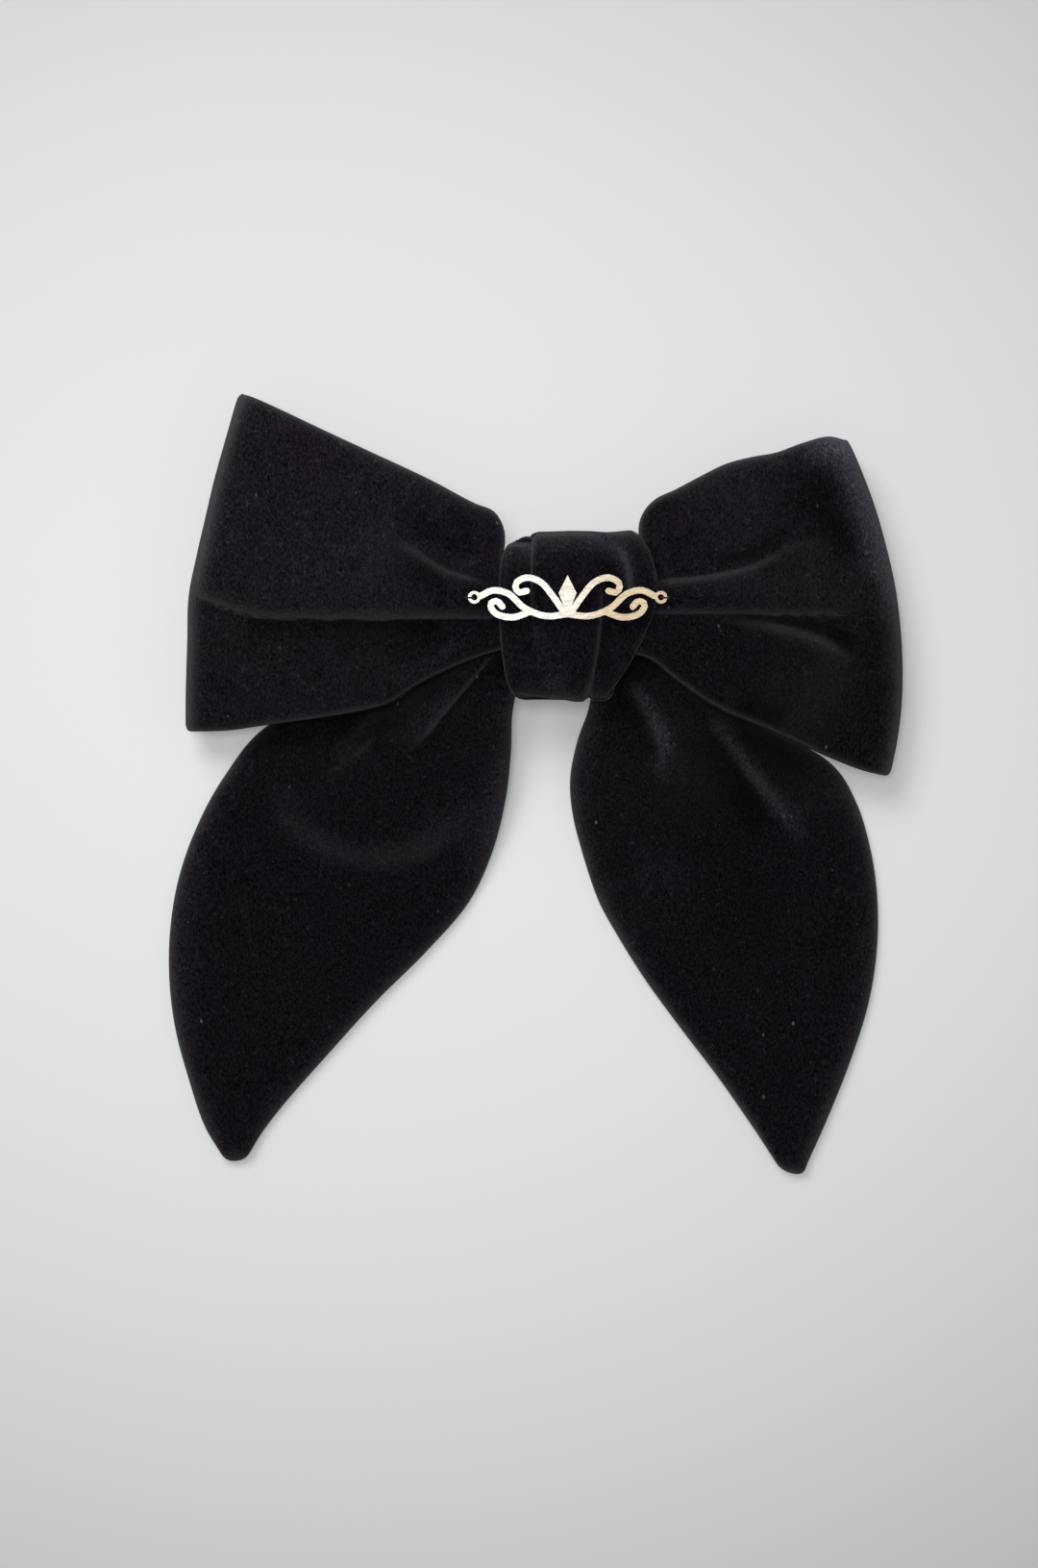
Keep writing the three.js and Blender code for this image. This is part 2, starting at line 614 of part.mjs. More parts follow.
function addArm() {
  const middle = ARM / 2;
  const points = [
    [HINGE_X, HINGE_Z - PIN_HOLE - 0.35], [HINGE_X + 1.6, 2.2], [HINGE_X + 3.4, 1.0], [HINGE_X + 5.4, middle],
    [28, middle], [30.4, 0.9], [32.6, 1.8], [34.2, 2.2], [39.5, 2.2], [41.4, 1.6], [43, 0.9],
  ];
  const barrelGap = BARREL_RADIUS + 0.5;
  let arm = solid(sideProfile(points, 2 * ARM_END_HALF_WIDTH, ARM));
  for (const side of [-1, 1]) {
    const spare = ARM_END_HALF_WIDTH;
    const length = ARM_END_FROM - HINGE_X + barrelGap + 2;
    const x = ARM_END_FROM - length / 2;
    arm = arm.subtract(solid(box(x, side * (ARM_HALF_WIDTH + spare / 2), 3, length, spare, 8)));
    const root = side * (BARREL_HALF + spare / 2);
    arm = arm.subtract(solid(box(HINGE_X, root, HINGE_Z, 2 * barrelGap, spare, 8)));
  }
  arm = arm.add(solid(acrossRod(HINGE_X, HINGE_Z, BARREL_RADIUS, 2 * BARREL_HALF, 16)));
  arm = arm.subtract(solid(acrossRod(HINGE_X, HINGE_Z, PIN_HOLE, 4 * BARREL_HALF, 16)));
  const length = WINDOW.to - WINDOW.from;
  arm = arm.subtract(solid(box(WINDOW.from + length / 2, 0, 2.5, length, 2 * WINDOW.halfWidth, 6)));
  add("barrette_arm", geometryOf(arm), steel);
  const pin = acrossRod(HINGE_X, HINGE_Z, PIN_RADIUS, 2 * BASE_HALF_WIDTH + 0.8, 12);
  add("hinge_pin", facingOut(bare(pin)), steel);
}

function addWing(name, side) {
  const profile = [[2.1, 7.7], [2.1, 1.2], [2.3, 0.9], [2.75, 0.9], [2.75, 1.5], [2.6, 1.7], [2.6, 7.7]];
  const shape = new THREE.Shape(profile.map(([y, z]) => new THREE.Vector2(side * y, z)));
  const wing = extruded(shape, WING.length).rotateY(Math.PI / 2).rotateX(Math.PI / 2);
  add(name, facingOut(bare(wing.translate(WING.from, 0, 0))), steel);
}

function addBacking() {
  const outline = new THREE.Shape();
  outline.absarc(FELT_STRAIGHT, 0, FELT_HALF_WIDTH, -Math.PI / 2, Math.PI / 2);
  outline.absarc(-FELT_STRAIGHT, 0, FELT_HALF_WIDTH, Math.PI / 2, (3 * Math.PI) / 2);
  const pad = extruded(outline, FELT_TOP - FELT_LOW).translate(0, 0, FELT_LOW);
  add("backing_felt", facingOut(bare(pad)), felt);
  for (const [name, side] of [["barrette_stitch_left", -1], ["barrette_stitch_right", 1]]) {
    const round = winding(
      new THREE.Vector3(side * STITCH_X, 0, STITCH_Z),
      new THREE.Vector3(0, BASE_HALF_WIDTH + STITCH_OVERHANG, 0),
      new THREE.Vector3(0, 0, STITCH_HALF_DEPTH),
      THREAD,
    );
    add(name, round, thread);
  }
}

addLoops();
addKnot();
addTail("left", LEFT_TAIL);
addTail("right", RIGHT_TAIL);
addPlate();
addBacking();
addBase();
addSpring();
addArm();
addWing("catch_wing_upper", 1);
addWing("catch_wing_lower", -1);

export default bow;
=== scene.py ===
import math

import bpy
import numpy as np
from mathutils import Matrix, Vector


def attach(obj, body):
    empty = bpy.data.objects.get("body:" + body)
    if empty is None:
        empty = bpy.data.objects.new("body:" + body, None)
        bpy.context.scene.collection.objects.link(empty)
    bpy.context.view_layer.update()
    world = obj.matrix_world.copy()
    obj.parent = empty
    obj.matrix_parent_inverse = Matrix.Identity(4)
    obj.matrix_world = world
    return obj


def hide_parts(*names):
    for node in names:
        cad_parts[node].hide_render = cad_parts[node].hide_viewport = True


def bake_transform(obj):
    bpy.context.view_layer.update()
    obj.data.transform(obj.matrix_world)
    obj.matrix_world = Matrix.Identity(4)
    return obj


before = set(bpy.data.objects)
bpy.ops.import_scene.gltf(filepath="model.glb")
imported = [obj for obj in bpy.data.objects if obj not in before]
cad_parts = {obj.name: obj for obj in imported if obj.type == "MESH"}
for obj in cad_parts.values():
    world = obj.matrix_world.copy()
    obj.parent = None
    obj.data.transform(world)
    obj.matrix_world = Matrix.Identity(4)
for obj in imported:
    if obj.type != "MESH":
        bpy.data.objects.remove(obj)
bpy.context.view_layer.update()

MM = 0.001

# ---- measures, in millimetres
WAIST_MIDDLE = 21.1
WAIST_HALF = 2.3
FRONT_HALF = (5.0, 6.5)
BACK_HALF = (4.5, 6.0)
WAIST_UNTIL = 0.15
OPENS_FROM = 0.14
OPENS_UNTIL = 0.5
STRIP_GAP = 0.001
TOP_DROP = 2.0
LOW_DROP = 0.6
STRIP_HALF = 1.15
STRIP_GRID = (340, 150)
LOOP_ROUND_REACH = 1.2
MIDDLE_GAP = 0.16
INTERLINING_HALF = 0.1
SEAM_ROUND = 2.2
THINNEST = 0.02
FOLD_STEPS = 8
SHORTEST_FADE = 0.001

LEFT_LOOP = {
    "top": [
        (0, 9), (-9, 9.6), (-16.0, 11.2), (-18.2, 14.2), (-17.8, 20.4), (-19.8, 24.4), (-24.5, 26.4),
        (-35.7, 32.4), (-47.6, 38.1), (-59.6, 43.8), (-71.8, 49.7), (-79.8, 53.3),
    ],
    "bottom": [
        (0, -7.0), (-9, -7.4), (-18.4, -8.2), (-26, -10.6), (-33, -13.6), (-39, -16.8), (-43.5, -19.9),
        (-48, -21.6), (-60, -23.8), (-75.9, -25.9), (-84, -27.0), (-92.8, -27.3),
    ],
    "fold": [
        (-92.8, -27.3), (-92.7, -18), (-92.3, -6), (-91.9, 5), (-90.0, 14.5), (-88.0, 23), (-85.6, 33),
        (-82.6, 43.5), (-79.8, 53.3),
    ],
    "fold_height": (8.2, 12.0),
    "round_from": [(0, 0.955), (1, 0.955)],
}
RIGHT_LOOP = {
    "top": [
        (0, 9), (9, 9.6), (14.5, 12), (16.6, 16.0), (15.2, 20.2), (15.8, 24.2), (18.6, 27.4), (23.2, 29.6),
        (29.3, 32.9), (35.3, 35.9), (41.3, 37.6), (47.3, 38.8), (53.5, 41.1), (59.7, 42.8), (63.9, 42.2),
    ],
    "bottom": [
        (0, -7.5), (9, -8.2), (17.5, -10.4), (23, -14.6), (33.4, -21.6), (46, -26.9), (62.1, -34.0),
        (69, -36.6), (74.2, -37.9),
    ],
    "fold": [
        (74.2, -37.9), (75.8, -30), (76.9, -21), (77.1, -12), (76.5, -2), (75.2, 7.5), (73.0, 17),
        (70.4, 26), (66.8, 35.5), (63.9, 42.2),
    ],
    "fold_height": (8.2, 12.0),
    "round_from": [(0, 0.95), (0.45, 0.93), (0.72, 0.89), (1, 0.80)],
}

ROOT_LOW = 11.3
TAIL_REST = 0.15
RISE_FROM = 70.0
RISE_TO = 10.0
TAIL_HALF = 1.4
ROOM_UNDER_LOOP = 0.5
ROOM_SLOPE = 0.4
TAIL_GRID = (190, 110)
TAIL_ROUND = 3.4
TAIL_SWELL = 1.3
TAIL_MIDDLE_GAP = 0.25
TAIL_INTERLINING_HALF = 0.12
TIP_CROWN = 2.2
LEFT_TAIL = {
    "pivot": (-11, 0),
    "bends_until": (-24, -24),
    "below": 1,
    "inner": [
        (-6.5, 7), (-8, -3), (-13.2, -14), (-15.3, -22.5), (-15.7, -32), (-16.9, -43), (-20.2, -56.2),
        (-25.9, -68.4), (-36.3, -80.5), (-48.5, -92.6), (-59.7, -104.9), (-70.4, -117.0), (-75.2, -123.1),
        (-79.0, -128.6),
    ],
    "outer": [
        (-15.5, 7), (-16, -1), (-30, -10.5), (-52, -17.5), (-75.0, -26.0), (-85.4, -38.4), (-91.8, -50.2),
        (-96.1, -62.3), (-98.2, -74.4), (-98.5, -86.6), (-97.1, -98.7), (-93.9, -110.9), (-89.7, -123.1),
        (-85.6, -129.3),
    ],
}
RIGHT_TAIL = {
    "pivot": (8, 0),
    "bends_until": (18, -26),
    "below": -1,
    "inner": [
        (3.5, 7), (4, -3), (4.0, -14), (2.8, -22), (0.2, -29.5), (-1.5, -38.5), (-1.0, -46.5), (1.4, -56.2),
        (5.5, -68.3), (9.0, -74.8), (16.3, -86.6), (25.1, -98.7), (34.4, -110.9), (42.9, -123.1),
        (48.4, -131.4),
    ],
    "outer": [
        (12.5, 7), (13, -1), (24, -12), (42, -24), (62.0, -35.2), (67.7, -44), (71.4, -56.2), (73.0, -68.3),
        (72.8, -80.5), (70.9, -92.6), (67.2, -104.8), (62.5, -117), (57.2, -129.1), (55.2, -132.8),
    ],
}

BAND_MIDDLE = 21.3
BAND_HALF_DEPTH = 5.4
BAND_BACK_HALF = 9.0
BAND_GAP = 0.001
BAND_GRID = (260, 150)
BAND_HALF = 0.5
BAND_CENTRE_Y = 0.4

FELT_HALF_WIDTH = 8.4
FELT_STRAIGHT = 11.5
FELT_MIDDLE = 9.55
FELT_HALF = 0.44

STEEL_BEVEL = 0.12
FINE_BEVEL = 0.08
PLATE_BEVEL = 0.16
BEVEL_FROM_DEGREES = 32

# Each cut's width and length in metres, and its flat area in square metres.
# The tails' area is their outline. The knot is one tapered band, without the cloth that is hidden in its
# pleats.
LEFT_TAIL_CUT = ((0.066, 0.155), 0.0063)
RIGHT_TAIL_CUT = ((0.068, 0.144), 0.0060)


# ---- number helpers
def mix(a, b, t):
    return a + (b - a) * t


def ease(t):
    held = np.clip(t, 0.0, 1.0)
    return held * held * (3 - 2 * held)


def read_table(points, x):
    """The value at x on the straight runs between (where, value) points."""
    ordered = sorted(points)
    return np.interp(x, [p[0] for p in ordered], [p[1] for p in ordered])


def rounded_power(value, power):
    return np.sign(value) * np.abs(value) ** power


def catmull(points, steps=24):
    """A smooth line through the points, as many close points."""
    p = np.array(points, float)
    p = np.vstack([2 * p[0] - p[1], p, 2 * p[-1] - p[-2]])
    out = []
    for i in range(1, len(p) - 2):
        a, b, c, d = p[i - 1], p[i], p[i + 1], p[i + 2]
        ta = 0.0
        tb = ta + np.linalg.norm(b - a) ** 0.5
        tc = tb + np.linalg.norm(c - b) ** 0.5
        td = tc + np.linalg.norm(d - c) ** 0.5
        t = np.linspace(tb, tc, steps, endpoint=False)[:, None]
        ab = (tb - t) / (tb - ta) * a + (t - ta) / (tb - ta) * b
        bc = (tc - t) / (tc - tb) * b + (t - tb) / (tc - tb) * c
        cd = (td - t) / (td - tc) * c + (t - tc) / (td - tc) * d
        abc = (tc - t) / (tc - ta) * ab + (t - ta) / (tc - ta) * bc
        bcd = (td - t) / (td - tb) * bc + (t - tb) / (td - tb) * cd
        out.append((tc - t) / (tc - tb) * abc + (t - tb) / (tc - tb) * bcd)
    out.append(p[-2][None, :])
    return np.vstack(out)


class Line:
    """A smooth line read by its share of length, or by the point's own share."""

    def __init__(self, points, steps=24):
        self.dense = catmull(points, steps)
        step = np.linalg.norm(np.diff(self.dense, axis=0), axis=1)
        self.length = np.concatenate([[0], np.cumsum(step)])
        self.index = np.linspace(0, 1, len(self.dense))

    def at(self, share):
        where = np.asarray(share) * self.length[-1]
        return np.stack([np.interp(where, self.length, c) for c in self.dense.T], axis=-1)

    def by_index(self, share):
        return np.stack([np.interp(share, self.index, c) for c in self.dense.T], axis=-1)


def line_distance(xy, line):
    """Signed distance to a line (positive on its left) and the share of its length, for each point."""
    dense = line.dense
    flat = xy.reshape(-1, 2)
    best = np.full(len(flat), 1e9)
    side = np.zeros(len(flat))
    share = np.zeros(len(flat))
    for i in range(len(dense) - 1):
        a, b = dense[i], dense[i + 1]
        along = b - a
        t = np.clip(((flat - a) @ along) / (along @ along), 0, 1)
        away = flat - (a + t[:, None] * along)
        d = np.hypot(away[:, 0], away[:, 1])
        nearer = d < best
        best[nearer] = d[nearer]
        cross = along[0] * away[:, 1] - along[1] * away[:, 0]
        side[nearer] = np.sign(cross[nearer])
        share[nearer] = (mix(line.length[i], line.length[i + 1], t) / line.length[-1])[nearer]
    shape = xy.shape[:-1]
    return (best * side).reshape(shape), share.reshape(shape)


def faded(share, fade):
    """1 along a line, easing to 0 over its first and last parts, which fade gives as shares of its length."""
    start = ease((share + SHORTEST_FADE) / max(fade[0], SHORTEST_FADE))
    return start * ease((1 - share) / max(fade[1], SHORTEST_FADE))


def roll(xy, points, height, width, reach, fade=(0.05, 0.25)):
    """A rolled tuck: the cloth on the line's left turns down to it like a quarter round, then levels out."""
    d, share = line_distance(xy, Line(points, FOLD_STEPS))
    inside = np.clip(d, 0, None)
    rise = np.sqrt(1 - (1 - np.clip(inside / width, 0, 1)) ** 2)
    level = np.exp(-((np.clip(inside - width, 0, None) / reach) ** 2))
    dip = -0.22 * np.exp(-((np.clip(-d, 0, None) / (0.5 * width)) ** 2)) * (1 - rise)
    return height * (rise * level + dip) * faded(share, fade)


def step_up(xy, points, rise, sharp, reach, fade=(0.05, 0.25)):
    """A soft slope along the line: the cloth on its left stands higher, then comes down over the reach."""
    d, share = line_distance(xy, Line(points, FOLD_STEPS))
    level = np.exp(-((np.clip(d, 0, None) / reach) ** 2))
    return rise * 0.5 * (1 + np.tanh(d / sharp)) * level * faded(share, fade)


def ridge(xy, points, height, width, fade=(0.05, 0.5)):
    """A soft round fold along the line."""
    d, share = line_distance(xy, Line(points, FOLD_STEPS))
    return height * np.exp(-((d / width) ** 2)) * faded(share, fade)


def painted_light_band(xy, points, strength, widths, fade=(0.2, 0.2)):
    """A band of painted highlight (strength above 0) or painted shade (below 0) along a line, with a width of
    its own on the line's left and right.
    """
    d, share = line_distance(xy, Line(points, FOLD_STEPS))
    width = np.where(d > 0, widths[0], widths[1])
    return strength * np.exp(-((d / width) ** 2)) * faded(share, fade)


# Sums bands of painted highlight and painted shade.
def painted_light_from(xy, painted_strokes):
    return sum(painted_light_band(xy, *painted_stroke) for painted_stroke in painted_strokes)


def wander(xy, size, seed):
    """Smooth low hills, the same at every run."""
    local = np.random.default_rng(seed)
    total = np.zeros(xy.shape[:-1])
    for _ in range(6):
        angle = local.uniform(0, 2 * math.pi)
        wave = local.uniform(0.7, 1.5) * 2 * math.pi / size
        phase = local.uniform(0, 2 * math.pi)
        total += np.sin((xy[..., 0] * math.cos(angle) + xy[..., 1] * math.sin(angle)) * wave + phase)
    return total / 6


# ---- mesh helpers
def normals(surface):
    along = np.gradient(surface, axis=0)
    across = np.gradient(surface, axis=1)
    n = np.cross(along, across)
    size = np.linalg.norm(n, axis=-1, keepdims=True)
    return n / np.maximum(size, 1e-9)


def new_object(name, verts, faces):
    mesh = bpy.data.meshes.new(name)
    mesh.from_pydata((np.asarray(verts) * MM).tolist(), [], [tuple(f) for f in faces])
    mesh.validate()
    mesh.polygons.foreach_set("use_smooth", [True] * len(mesh.polygons))
    mesh.update()
    obj = bpy.data.objects.new(name, mesh)
    bpy.context.scene.collection.objects.link(obj)
    return obj


def signed_volume(verts, faces):
    v = np.asarray(verts)
    f = np.asarray(faces)
    a, b, c, d = v[f[:, 0]], v[f[:, 1]], v[f[:, 2]], v[f[:, 3]]
    return float((np.cross(a, b) * c).sum() + (np.cross(a, c) * d).sum())


def shell(name, upper, lower, painted_light_and_brushing=None):
    """A closed piece between two grids.
    The optional values say for each point of the upper grid how much painted highlight or painted shade it
    gets."""
    rows, columns = upper.shape[:2]
    verts = np.vstack([upper.reshape(-1, 3), lower.reshape(-1, 3)])

    def at(row, column, layer):
        return (layer * rows + row) * columns + column

    i, j = np.meshgrid(np.arange(rows - 1), np.arange(columns - 1), indexing="ij")
    i, j = i.ravel(), j.ravel()
    faces = [
        np.stack([at(i, j, 0), at(i + 1, j, 0), at(i + 1, j + 1, 0), at(i, j + 1, 0)], 1),
        np.stack([at(i, j, 1), at(i, j + 1, 1), at(i + 1, j + 1, 1), at(i + 1, j, 1)], 1),
    ]
    end = rows - 1
    last = columns - 1
    run = np.arange(end)
    nxt = run + 1
    faces.append(np.stack([at(run, 0, 0), at(run, 0, 1), at(nxt, 0, 1), at(nxt, 0, 0)], 1))
    faces.append(np.stack([at(run, last, 0), at(nxt, last, 0), at(nxt, last, 1), at(run, last, 1)], 1))
    run = np.arange(last)
    nxt = run + 1
    faces.append(np.stack([at(0, run, 0), at(0, nxt, 0), at(0, nxt, 1), at(0, run, 1)], 1))
    faces.append(np.stack([at(end, run, 0), at(end, run, 1), at(end, nxt, 1), at(end, nxt, 0)], 1))
    faces = np.vstack(faces)
    if signed_volume(verts, faces) < 0:
        faces = faces[:, ::-1]
    piece = new_object(name, verts, faces)
    if painted_light_and_brushing is not None:
        values = np.concatenate([painted_light_and_brushing.ravel(), painted_light_and_brushing.ravel()]).astype(np.float32)
        piece.data.attributes.new("painted_light_and_brushing", "FLOAT", "POINT").data.foreach_set("value", values)
    return piece


def ring_faces(rows, columns):
    """Faces of a grid whose last row joins its first."""
    faces = []
    for i in range(rows):
        k = (i + 1) % rows
        for j in range(columns - 1):
            faces.append((i * columns + j, i * columns + j + 1, k * columns + j + 1, k * columns + j))
    return faces


def spread(count, edge=0.5):
    """Shares from 0 to 1, closer together at both ends."""
    even = np.linspace(0, 1, count)
    return mix(even, 0.5 - 0.5 * np.cos(math.pi * even), edge)


# ---- node helpers
def new_material(name):
    material = bpy.data.materials.new(name)
    material.use_nodes = True
    tree = material.node_tree
    shader = tree.nodes["Principled BSDF"]
    return material, tree, shader


def node(tree, kind, **values):
    made = tree.nodes.new(kind)
    for key, value in values.items():
        if key in made.inputs:
            made.inputs[key].default_value = value
        else:
            setattr(made, key, value)
    return made


def ramp(tree, source, low, high, colours=((0, 0, 0, 1), (1, 1, 1, 1))):
    made = tree.nodes.new("ShaderNodeValToRGB")
    made.color_ramp.elements[0].position = low
    made.color_ramp.elements[1].position = high
    made.color_ramp.elements[0].color = colours[0]
    made.color_ramp.elements[1].color = colours[1]
    tree.links.new(source, made.inputs["Fac"])
    return made.outputs["Color"]


def object_space(tree, scale=(1, 1, 1)):
    place = tree.nodes.new("ShaderNodeTexCoord")
    mapping = tree.nodes.new("ShaderNodeMapping")
    mapping.inputs["Scale"].default_value = scale
    tree.links.new(place.outputs["Object"], mapping.inputs["Vector"])
    return mapping.outputs["Vector"]


def noise(tree, vector, scale, detail=2.0, roughness=0.5):
    made = node(tree, "ShaderNodeTexNoise", Scale=scale, Detail=detail, Roughness=roughness)
    tree.links.new(vector, made.inputs["Vector"])
    return made.outputs["Fac"]


def math_node(tree, operation, a, b=None, clamp=False):
    made = tree.nodes.new("ShaderNodeMath")
    made.operation = operation
    made.use_clamp = clamp
    for socket, value in zip(made.inputs, (a, b)):
        if value is None:
            continue
        if isinstance(value, (int, float)):
            socket.default_value = value
        else:
            tree.links.new(value, socket)
    return made.outputs["Value"]


def weighted(tree, a, share_a, b, share_b):
    part_a = math_node(tree, "MULTIPLY", a, share_a)
    part_b = math_node(tree, "MULTIPLY", b, share_b)
    return math_node(tree, "ADD", part_a, part_b)


def blend_colour(tree, share, a, b):
    made = tree.nodes.new("ShaderNodeMix")
    made.data_type = "RGBA"
    tree.links.new(share, made.inputs["Factor"])
    for socket, value in ((made.inputs["A"], a), (made.inputs["B"], b)):
        if isinstance(value, tuple):
            socket.default_value = value
        else:
            tree.links.new(value, socket)
    return made.outputs["Result"]


def set_inputs(shader, values):
    for name, value in values.items():
        shader.inputs[name].default_value = value


def colour_ramp(tree, shader, source, low, high, colours):
    tree.links.new(ramp(tree, source, low, high, colours), shader.inputs["Base Color"])


def bump(tree, shader, height, strength, distance):
    made = tree.nodes.new("ShaderNodeBump")
    made.inputs["Strength"].default_value = strength
    made.inputs["Distance"].default_value = distance
    tree.links.new(height, made.inputs["Height"])
    tree.links.new(made.outputs["Normal"], shader.inputs["Normal"])


# ---- materials
PILE_DEEP = (0.0009, 0.0008, 0.0009, 1)
PILE_TIPS = (0.0168, 0.0153, 0.0172, 1)
STRAY_GREY = (0.073, 0.070, 0.076, 1)
LINT_GREY = (0.138, 0.133, 0.138, 1)
SHEEN_GREY = (0.112, 0.113, 0.121, 1)
GRAIN_SCALE = 2300


def stray_fibres(tree, place):
    """Thin curled fibres lying on the pile, in patches."""
    curl = noise(tree, place, 380, 3.0, 0.6)
    thin = math_node(tree, "ABSOLUTE", math_node(tree, "SUBTRACT", curl, 0.5))
    hair = ramp(tree, thin, 0.002, 0.007, ((1, 1, 1, 1), (0, 0, 0, 1)))
    patchy = ramp(tree, noise(tree, object_space(tree, (1.3, 1.0, 0.7)), 620, 2.0, 0.5), 0.52, 0.64)
    return math_node(tree, "MULTIPLY", math_node(tree, "MULTIPLY", hair, patchy), 0.6)


def lint_specks(tree):
    """A few pale specks, far apart."""
    cells = node(tree, "ShaderNodeTexVoronoi", Scale=420.0, Randomness=1.0)
    tree.links.new(object_space(tree, (1.0, 0.55, 1.0)), cells.inputs["Vector"])
    near = ramp(tree, cells.outputs["Distance"], 0.05, 0.15, ((1, 1, 1, 1), (0, 0, 0, 1)))
    chosen = node(tree, "ShaderNodeSeparateColor")
    tree.links.new(cells.outputs["Color"], chosen.inputs["Color"])
    rare = ramp(tree, chosen.outputs["Red"], 0.945, 0.99)
    return math_node(tree, "MULTIPLY", near, rare)


def painted_light_colour(tree, colour):
    """The colour made lighter or darker by painted highlights and painted shade, a value held at each point.
    """
    painted_light_and_brushing = node(tree, "ShaderNodeAttribute", attribute_name="painted_light_and_brushing")
    lighter = math_node(tree, "MAXIMUM", math_node(tree, "ADD", painted_light_and_brushing.outputs["Fac"], 1.0), 0.4)
    lit_and_shaded = tree.nodes.new("ShaderNodeVectorMath")
    lit_and_shaded.operation = "SCALE"
    tree.links.new(colour, lit_and_shaded.inputs[0])
    tree.links.new(lighter, lit_and_shaded.inputs["Scale"])
    return lit_and_shaded.outputs["Vector"]


def velvet_material():
    """Short dense pile: nearly black seen straight on, with a painted sheen that turns it greyer where it
    turns away, painted highlights and shade from the values held at each point, and a few pale fibres.
    """
    material, tree, shader = new_material("black_velvet")
    fine = object_space(tree)
    nap = object_space(tree, (1.0, 0.5, 1.0))
    grain = noise(tree, nap, GRAIN_SCALE, 3.0, 0.75)
    crushed = noise(tree, fine, 210, 4.0, 0.6)
    broad = noise(tree, fine, 34, 2.0, 0.5)
    pile = weighted(tree, grain, 0.95, crushed, 0.15)
    depth = ramp(tree, pile, 0.41, 0.78, (PILE_DEEP, PILE_TIPS))
    hue = ramp(tree, broad, 0.38, 0.64, ((1.03, 0.84, 1.12, 1), (0.90, 0.94, 1.08, 1)))
    tinted = tree.nodes.new("ShaderNodeMix")
    tinted.data_type = "RGBA"
    tinted.blend_type = "MULTIPLY"
    tinted.inputs["Factor"].default_value = 1.0
    tree.links.new(depth, tinted.inputs["A"])
    tree.links.new(hue, tinted.inputs["B"])
    coloured = blend_colour(tree, stray_fibres(tree, fine), tinted.outputs["Result"], STRAY_GREY)
    specked = blend_colour(tree, lint_specks(tree), coloured, LINT_GREY)
    turned = tree.nodes.new("ShaderNodeLayerWeight")
    turned.inputs["Blend"].default_value = 0.5
    steep = math_node(tree, "MULTIPLY", math_node(tree, "POWER", turned.outputs["Facing"], 1.4), 1.5)
    held = math_node(tree, "MINIMUM", steep, 0.5)
    glow = math_node(tree, "MULTIPLY", held, math_node(tree, "ADD", grain, 0.5))
    # Painted highlights and shade scale the colour, then the painted sheen grey is mixed in where the surface
    # turns away.
    sheen = blend_colour(tree, glow, painted_light_colour(tree, specked), SHEEN_GREY)
    tree.links.new(sheen, shader.inputs["Base Color"])
    set_inputs(shader, {
        "Roughness": 1.0,
        "Specular IOR Level": 0.02,
        "Sheen Weight": 0.05,
        "Sheen Roughness": 0.3,
        "Sheen Tint": (0.93, 0.96, 1.0, 1),
    })
    bump(tree, shader, pile, 0.45, 0.0004)
    return material


def weave_material():
    """Pale interlining: two crossing sets of threads with loose fibres between them."""
    material, tree, shader = new_material("interlining")
    scale = 520.0
    place = object_space(tree)
    waves = []
    for direction in ("X", "Y"):
        wave = node(tree, "ShaderNodeTexWave", Scale=scale, Distortion=1.2, Detail=2.0)
        wave.bands_direction = direction
        tree.links.new(place, wave.inputs["Vector"])
        waves.append(wave.outputs["Fac"])
    woven = math_node(tree, "MULTIPLY", waves[0], waves[1])
    fibre = noise(tree, place, scale * 3, 4.0, 0.7)
    both = weighted(tree, woven, 1.0, fibre, 0.8)
    colours = ((0.34, 0.33, 0.31, 1), (0.62, 0.61, 0.58, 1))
    colour_ramp(tree, shader, both, 0.25, 1.2, colours)
    set_inputs(shader, {"Roughness": 0.9, "Sheen Weight": 0.1})
    bump(tree, shader, both, 0.5, 0.0001)
    return material


def felt_material():
    material, tree, shader = new_material("pressed_felt")
    place = object_space(tree)
    fibre = noise(tree, place, 900, 6.0, 0.75)
    cloud = noise(tree, place, 120, 3.0, 0.6)
    both = weighted(tree, fibre, 0.7, cloud, 0.4)
    colours = ((0.006, 0.006, 0.007, 1), (0.045, 0.044, 0.047, 1))
    colour_ramp(tree, shader, both, 0.3, 0.85, colours)
    set_inputs(shader, {"Roughness": 1.0, "Sheen Weight": 0.15})
    bump(tree, shader, both, 0.8, 0.0005)
    return material


def wadding_material():
    material, tree, shader = new_material("white_wadding")
    place = object_space(tree)
    fibre = noise(tree, place, 500, 8.0, 0.75)
    colours = ((0.5, 0.48, 0.45, 1), (0.9, 0.89, 0.86, 1))
    colour_ramp(tree, shader, fibre, 0.3, 0.8, colours)
    set_inputs(shader, {"Roughness": 1.0})
    bump(tree, shader, fibre, 0.7, 0.0008)
    return material


def thread_material():
    material, tree, shader = new_material("black_thread")
    place = object_space(tree)
    twist = node(tree, "ShaderNodeTexWave", Scale=900.0, Distortion=0.6)
    twist.bands_direction = "DIAGONAL"
    tree.links.new(place, twist.inputs["Vector"])
    colours = ((0.004, 0.004, 0.005, 1), (0.05, 0.048, 0.052, 1))
    colour_ramp(tree, shader, twist.outputs["Fac"], 0.2, 0.9, colours)
    set_inputs(shader, {"Roughness": 0.55})
    bump(tree, shader, twist.outputs["Fac"], 0.6, 0.0001)
    return material


